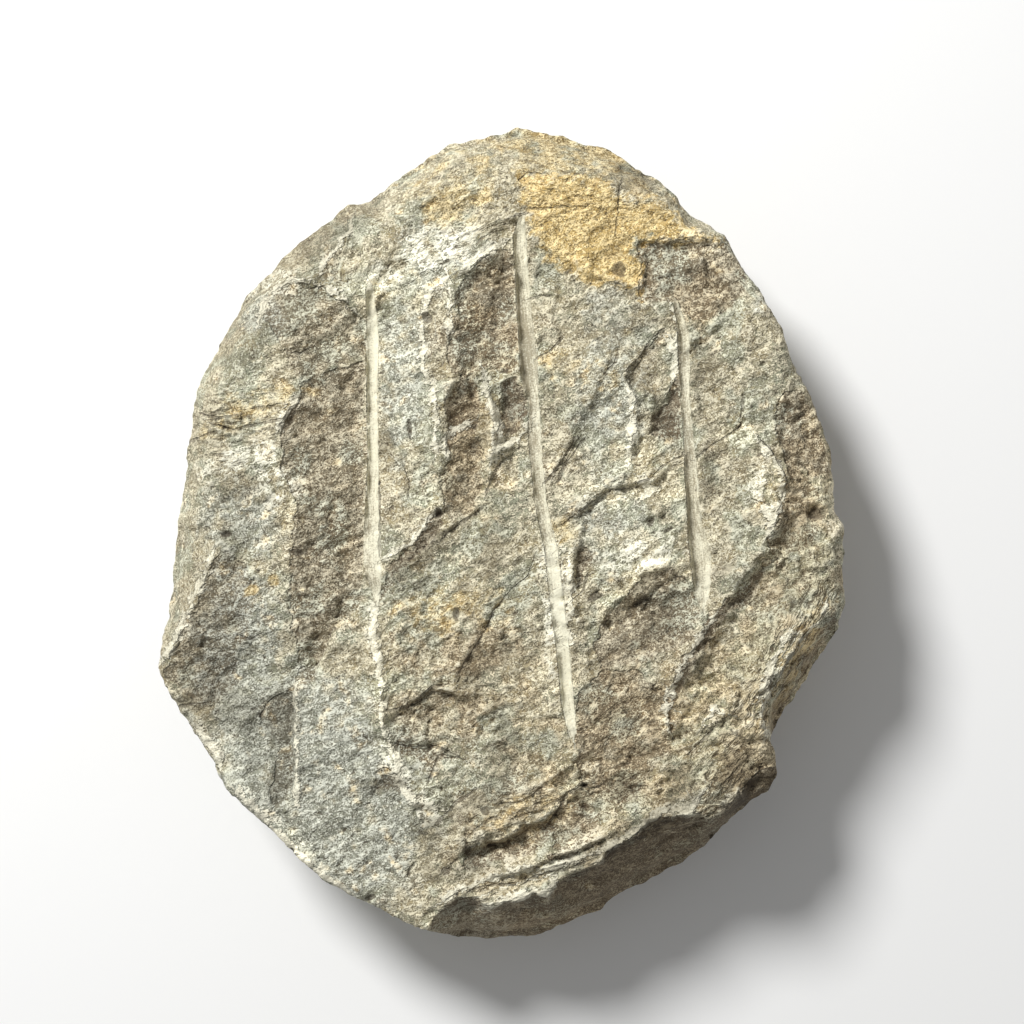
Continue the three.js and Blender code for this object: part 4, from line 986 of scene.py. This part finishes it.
# The calcite that shows pale in it: flecks, chips and salt, and nets of short curled strands
fleck_noise = rock.noise(grain, 0.62, 1, 0.6)
fine_fleck = rock.noise(place, 0.3, 0)
clustering = rock.field("clustering")
richness = (cream * 0.09 + tone_and_shade * 0.02 - brown * 0.01 - plain * 0.05 + fine_relief * 0.06 +
            broad_relief * 0.006 + clustering * 0.06)
fleck_level = fleck_noise * 0.75 + fine_fleck * 0.25 + richness
flecks = rock.between(fleck_level, 0.584, 0.602)
salt = rock.between(fine_fleck + richness, 0.67, 0.73)
chips = rock.between(rock.noise(grain, 1.9, 2, 0.7) + richness * 1.3, 0.65, 0.69)


def strands(place, room, curl, thickness):
    """A net of thin lines with this much room between them: 1 in the middle of each, 0 at its edge."""
    return 1 - abs(rock.noise(place, room, 1, 0.5, curl) - 0.5) * (room / thickness / 0.6)


near_net = strands(grain, 1.3, 1.8, 0.1)
net = rock.between(near_net + richness * 4, 0.1, 0.6)
near_wide_net = strands(grain, 3.2, 2.4, 0.15) + clustering * 2
wide_net = rock.between(near_wide_net + richness * 4, 0.1, 0.6)
curls = rock.between(strands(place, 0.95, 1.6, 0.11) + richness * 3, 0.2, 0.55)
curls = curls * rock.between(clustering + fine_fleck, 0.42, 0.62)
broken = rock.between(fleck_noise + fine_fleck * 0.4, 0.59, 0.7)
strata_place = rock.vector(rock.field("strata_across") + ragged * 1.2, rock.field("strata_along") * 0.2)
laminae = rock.noise(strata_place, 0.9, 2, 0.65)
strata = rock.field("strata")
pale = flecks
for more in (net * broken, wide_net * (0.3 + broken * 0.7), curls * 0.75,
             chips * 0.6 + salt * 0.75 * (1 - chips), rock.between(laminae, 0.53, 0.6) * strata * 0.65):
    pale = pale + (1 - pale) * more
pale = pale * (1 - plain * 0.4)
calcite = rock.coated(
    rock.mix(brown, paint(222, 214, 186), paint(203, 193, 167)),
    (rock.between(mottle, 0, 0.15), paint(214, 213, 190)),
    (slate, paint(214, 215, 199)),
    (cream, paint(240, 237, 216)),
    (ochre, paint(232, 216, 172)),
    (ochre_sheet, paint(243, 220, 164)))

# Dark ground beside the strands and flecks, and dark grains like pepper
beside = rock.between(near_net, -2.2, -0.3) * broken + rock.between(fleck_level, 0.52, 0.575)
pepper = rock.between(fine_fleck + richness * 0.5, 0.36, 0.28)
ground = rock.coated(
    ground,
    (rock.between(beside, 0.1, 1.2) * 0.6, paint(90, 82, 64)),
    (pepper * 0.7, paint(70, 62, 48)))
colour = rock.filtered(rock.between(rock.field("warm") + ragged * 1.5 + finely_ragged, 0.1, 0.9),
                       rock.mix(pale, ground, calcite), paint(255, 247, 236))

# Dark gaps and laminae, dirt and painted shade in the low places, bruised white crests, and the darker
# and paler parts, partly painted shade and painted light
gaps = rock.noise(grain, 0.75, 2, 0.65)
crest_line = rock.field("crest_half") - abs(rock.field("crest_right") + finely_ragged * 2.2)
crest_line = rock.between(crest_line + (fleck_noise - 0.5) * 2 + clustering * 1.6, -0.25, 0.15)
colour = rock.coated(
    colour,
    # Dark gaps in the grain, more where the surface lies low: partly dirt, partly painted shade
    (rock.between(gaps + fine_relief * 0.3, 0.4, 0.31) * (1 - pale * 0.6) * 0.75, paint(66, 56, 42)),
    (rock.between(laminae, 0.44, 0.36) * strata * 0.6, paint(84, 72, 54)),
    # The broad hollows darkened: dirt and painted shade in the low places
    (rock.between(broad_relief + ragged * 0.6 + finely_ragged * 0.6, -0.25, -0.9) * 0.2, paint(74, 62, 46)),
    (crest_line * (0.5 + pale * 0.4), paint(238, 233, 210)),
    # Painted shade: the brownest sunk faces and the scarp darkened further to deep brown
    (rock.between(face_brown, 0.9, 1.3) * 0.3, paint(70, 61, 47)))
# Painted shade and painted light: below 0 the colour is darkened, above 0 brightened past itself, partly the
# stone's own tone and partly standing in for how the relief is lit
ragged_tone_and_shade = tone_and_shade + finely_ragged * 0.8
colour = rock.filtered(rock.between(ragged_tone_and_shade, 0, -1.2), colour, paint(194, 192, 188))
colour = rock.filtered(rock.between(ragged_tone_and_shade, 0, 1.2), colour, (1.34, 1.33, 1.3, 1))
crest = rock.between(broad_relief + ragged * 0.9 + finely_ragged * 0.9, 0.45, 1.2)
crest = crest * rock.between(rock.field("rim_gap"), 1, 4)
colour = rock.mix(crest * (0.15 + pale * 0.35), colour, paint(232, 227, 204))

# The sawn kerfs, scored along their length, paler on their right side: painted light on the wall that
# faces the lamp and painted shade on the other
kerf_right = rock.field("kerf_right")
kerf_half = rock.field("kerf_half")
kerf_side = kerf_right / kerf_half
scores = rock.noise(rock.vector(kerf_right * 2.6, rock.field("kerf_along") * 0.2), 1, 2, 0.65)
in_kerf = rock.between(kerf_half - abs(kerf_right) + finely_ragged * 1.2, -0.1, 0.15)
# The kerf_side term paints each kerf paler toward its right wall and darker toward its left: painted light
# and shade
kerf_paleness_and_light = (rock.field("kerf_pale") - kerf_side * 0.35 + (fine_fleck - 0.5) * 1.6 +
                 (scores - 0.5) * 2.6 + ragged)
sawn = rock.mix(rock.between(kerf_paleness_and_light, -0.3, 1.1), paint(156, 147, 124), paint(228, 224, 200))

# Cracks and pits
near_crack = rock.field("crack_half") - abs(rock.field("crack_right") + finely_ragged * 0.8)
near_crack = near_crack + clustering * 0.5
cracked = rock.between(near_crack, -0.08, 0.06)
pitted = rock.between(rock.field("pit") + finely_ragged * 2 + clustering, 0.5, 0.8)
colour = rock.coated(
    colour,
    (in_kerf * (0.85 - salt * 0.3), sawn),
    (cracked * 0.5, paint(62, 52, 40)),
    (pitted * 0.7, paint(66, 57, 44)))
feed(rock.tree, rock.shader.inputs["Base Color"], colour)
rock.shader.inputs["Roughness"].default_value = 0.88

# Wrinkles, grains and laminae too fine for the mesh, calmer on the dark faces and in the kerfs
wrinkles = rock.node("ShaderNodeTexNoise", {"noise_type": "RIDGED_MULTIFRACTAL"}, "Fac", Vector=grain,
                     Scale=0.35, Detail=2.0, Roughness=0.6)
bumps = (wrinkles * (0.14 - rock.field("slate") * 0.07) + gaps * 0.35 + fleck_noise * 0.2 +
         laminae * strata * 1.1 + crest_line * 0.3 - cracked * 0.4)
bumps = (bumps - face * 0.35 - scarp * 0.4) * (1 - rock.between(abs(kerf_side), 1.1, 0.9) * 0.6)
feed(rock.tree, rock.shader.inputs["Normal"],
     rock.node("ShaderNodeBump", {}, "Normal", Strength=1.0, Distance=0.001, Height=bumps))
mesh.materials.append(rock.material)

# ---------------------------------------------------------------------------------------------------------
# The floor: a plain sheet of pale paper, far wider than what is seen of it. The slab lies loose on it, on the
# flats of its underside.
# ---------------------------------------------------------------------------------------------------------

floor_half = 1.5
floor_corners = [(-floor_half, -floor_half, 0), (floor_half, -floor_half, 0), (floor_half, floor_half, 0),
                 (-floor_half, floor_half, 0)]
floor_mesh = bpy.data.meshes.new("floor")
floor_mesh.from_pydata(floor_corners, [], [(0, 1, 2, 3)])
floor = bpy.data.objects.new("floor", floor_mesh)
bpy.context.scene.collection.objects.link(floor)
paper = bpy.data.materials.new("pale_floor")
paper.use_nodes = True
paper.node_tree.nodes["Principled BSDF"].inputs["Base Color"].default_value = (0.86, 0.86, 0.85, 1)
floor_mesh.materials.append(paper)

# ---------------------------------------------------------------------------------------------------------
# Light: a round soft lamp about a metre off to the upper left, like a window, and an even pale sky that fills
# the shadows on the other side.
# ---------------------------------------------------------------------------------------------------------

window_light = bpy.data.lights.new("window_light", "AREA")
window_light.shape = "DISK"
window_light.size = 0.3
window_light.energy = 15.4
window_lamp = bpy.data.objects.new("window_light", window_light)
window_lamp.location = (-0.5, 0.62, 0.75)
window_lamp.rotation_euler = (-window_lamp.location).to_track_quat("-Z", "Y").to_euler()
bpy.context.scene.collection.objects.link(window_lamp)

world = bpy.data.worlds.new("sky")
world.use_nodes = True
world.node_tree.nodes["Background"].inputs["Color"].default_value = (1, 1, 1, 1)
world.node_tree.nodes["Background"].inputs["Strength"].default_value = 0.28
bpy.context.scene.world = world
bpy.context.scene.view_settings.view_transform = "Standard"

# ---------------------------------------------------------------------------------------------------------
# Camera: it hangs straight above the slab and looks down, at the viewer's place that the slab's border is
# drawn for.
# ---------------------------------------------------------------------------------------------------------

view_width = 204.8  # millimetres, at the height of the rim
camera_data = bpy.data.cameras.new("camera")
camera_data.lens = 85
camera_data.sensor_width = 36
camera = bpy.data.objects.new("camera", camera_data)
camera_height = rim_height + view_width * camera_data.lens / camera_data.sensor_width
camera.location = (viewer_x * MM, viewer_y * MM, camera_height * MM)
bpy.context.scene.collection.objects.link(camera)
bpy.context.scene.camera = camera
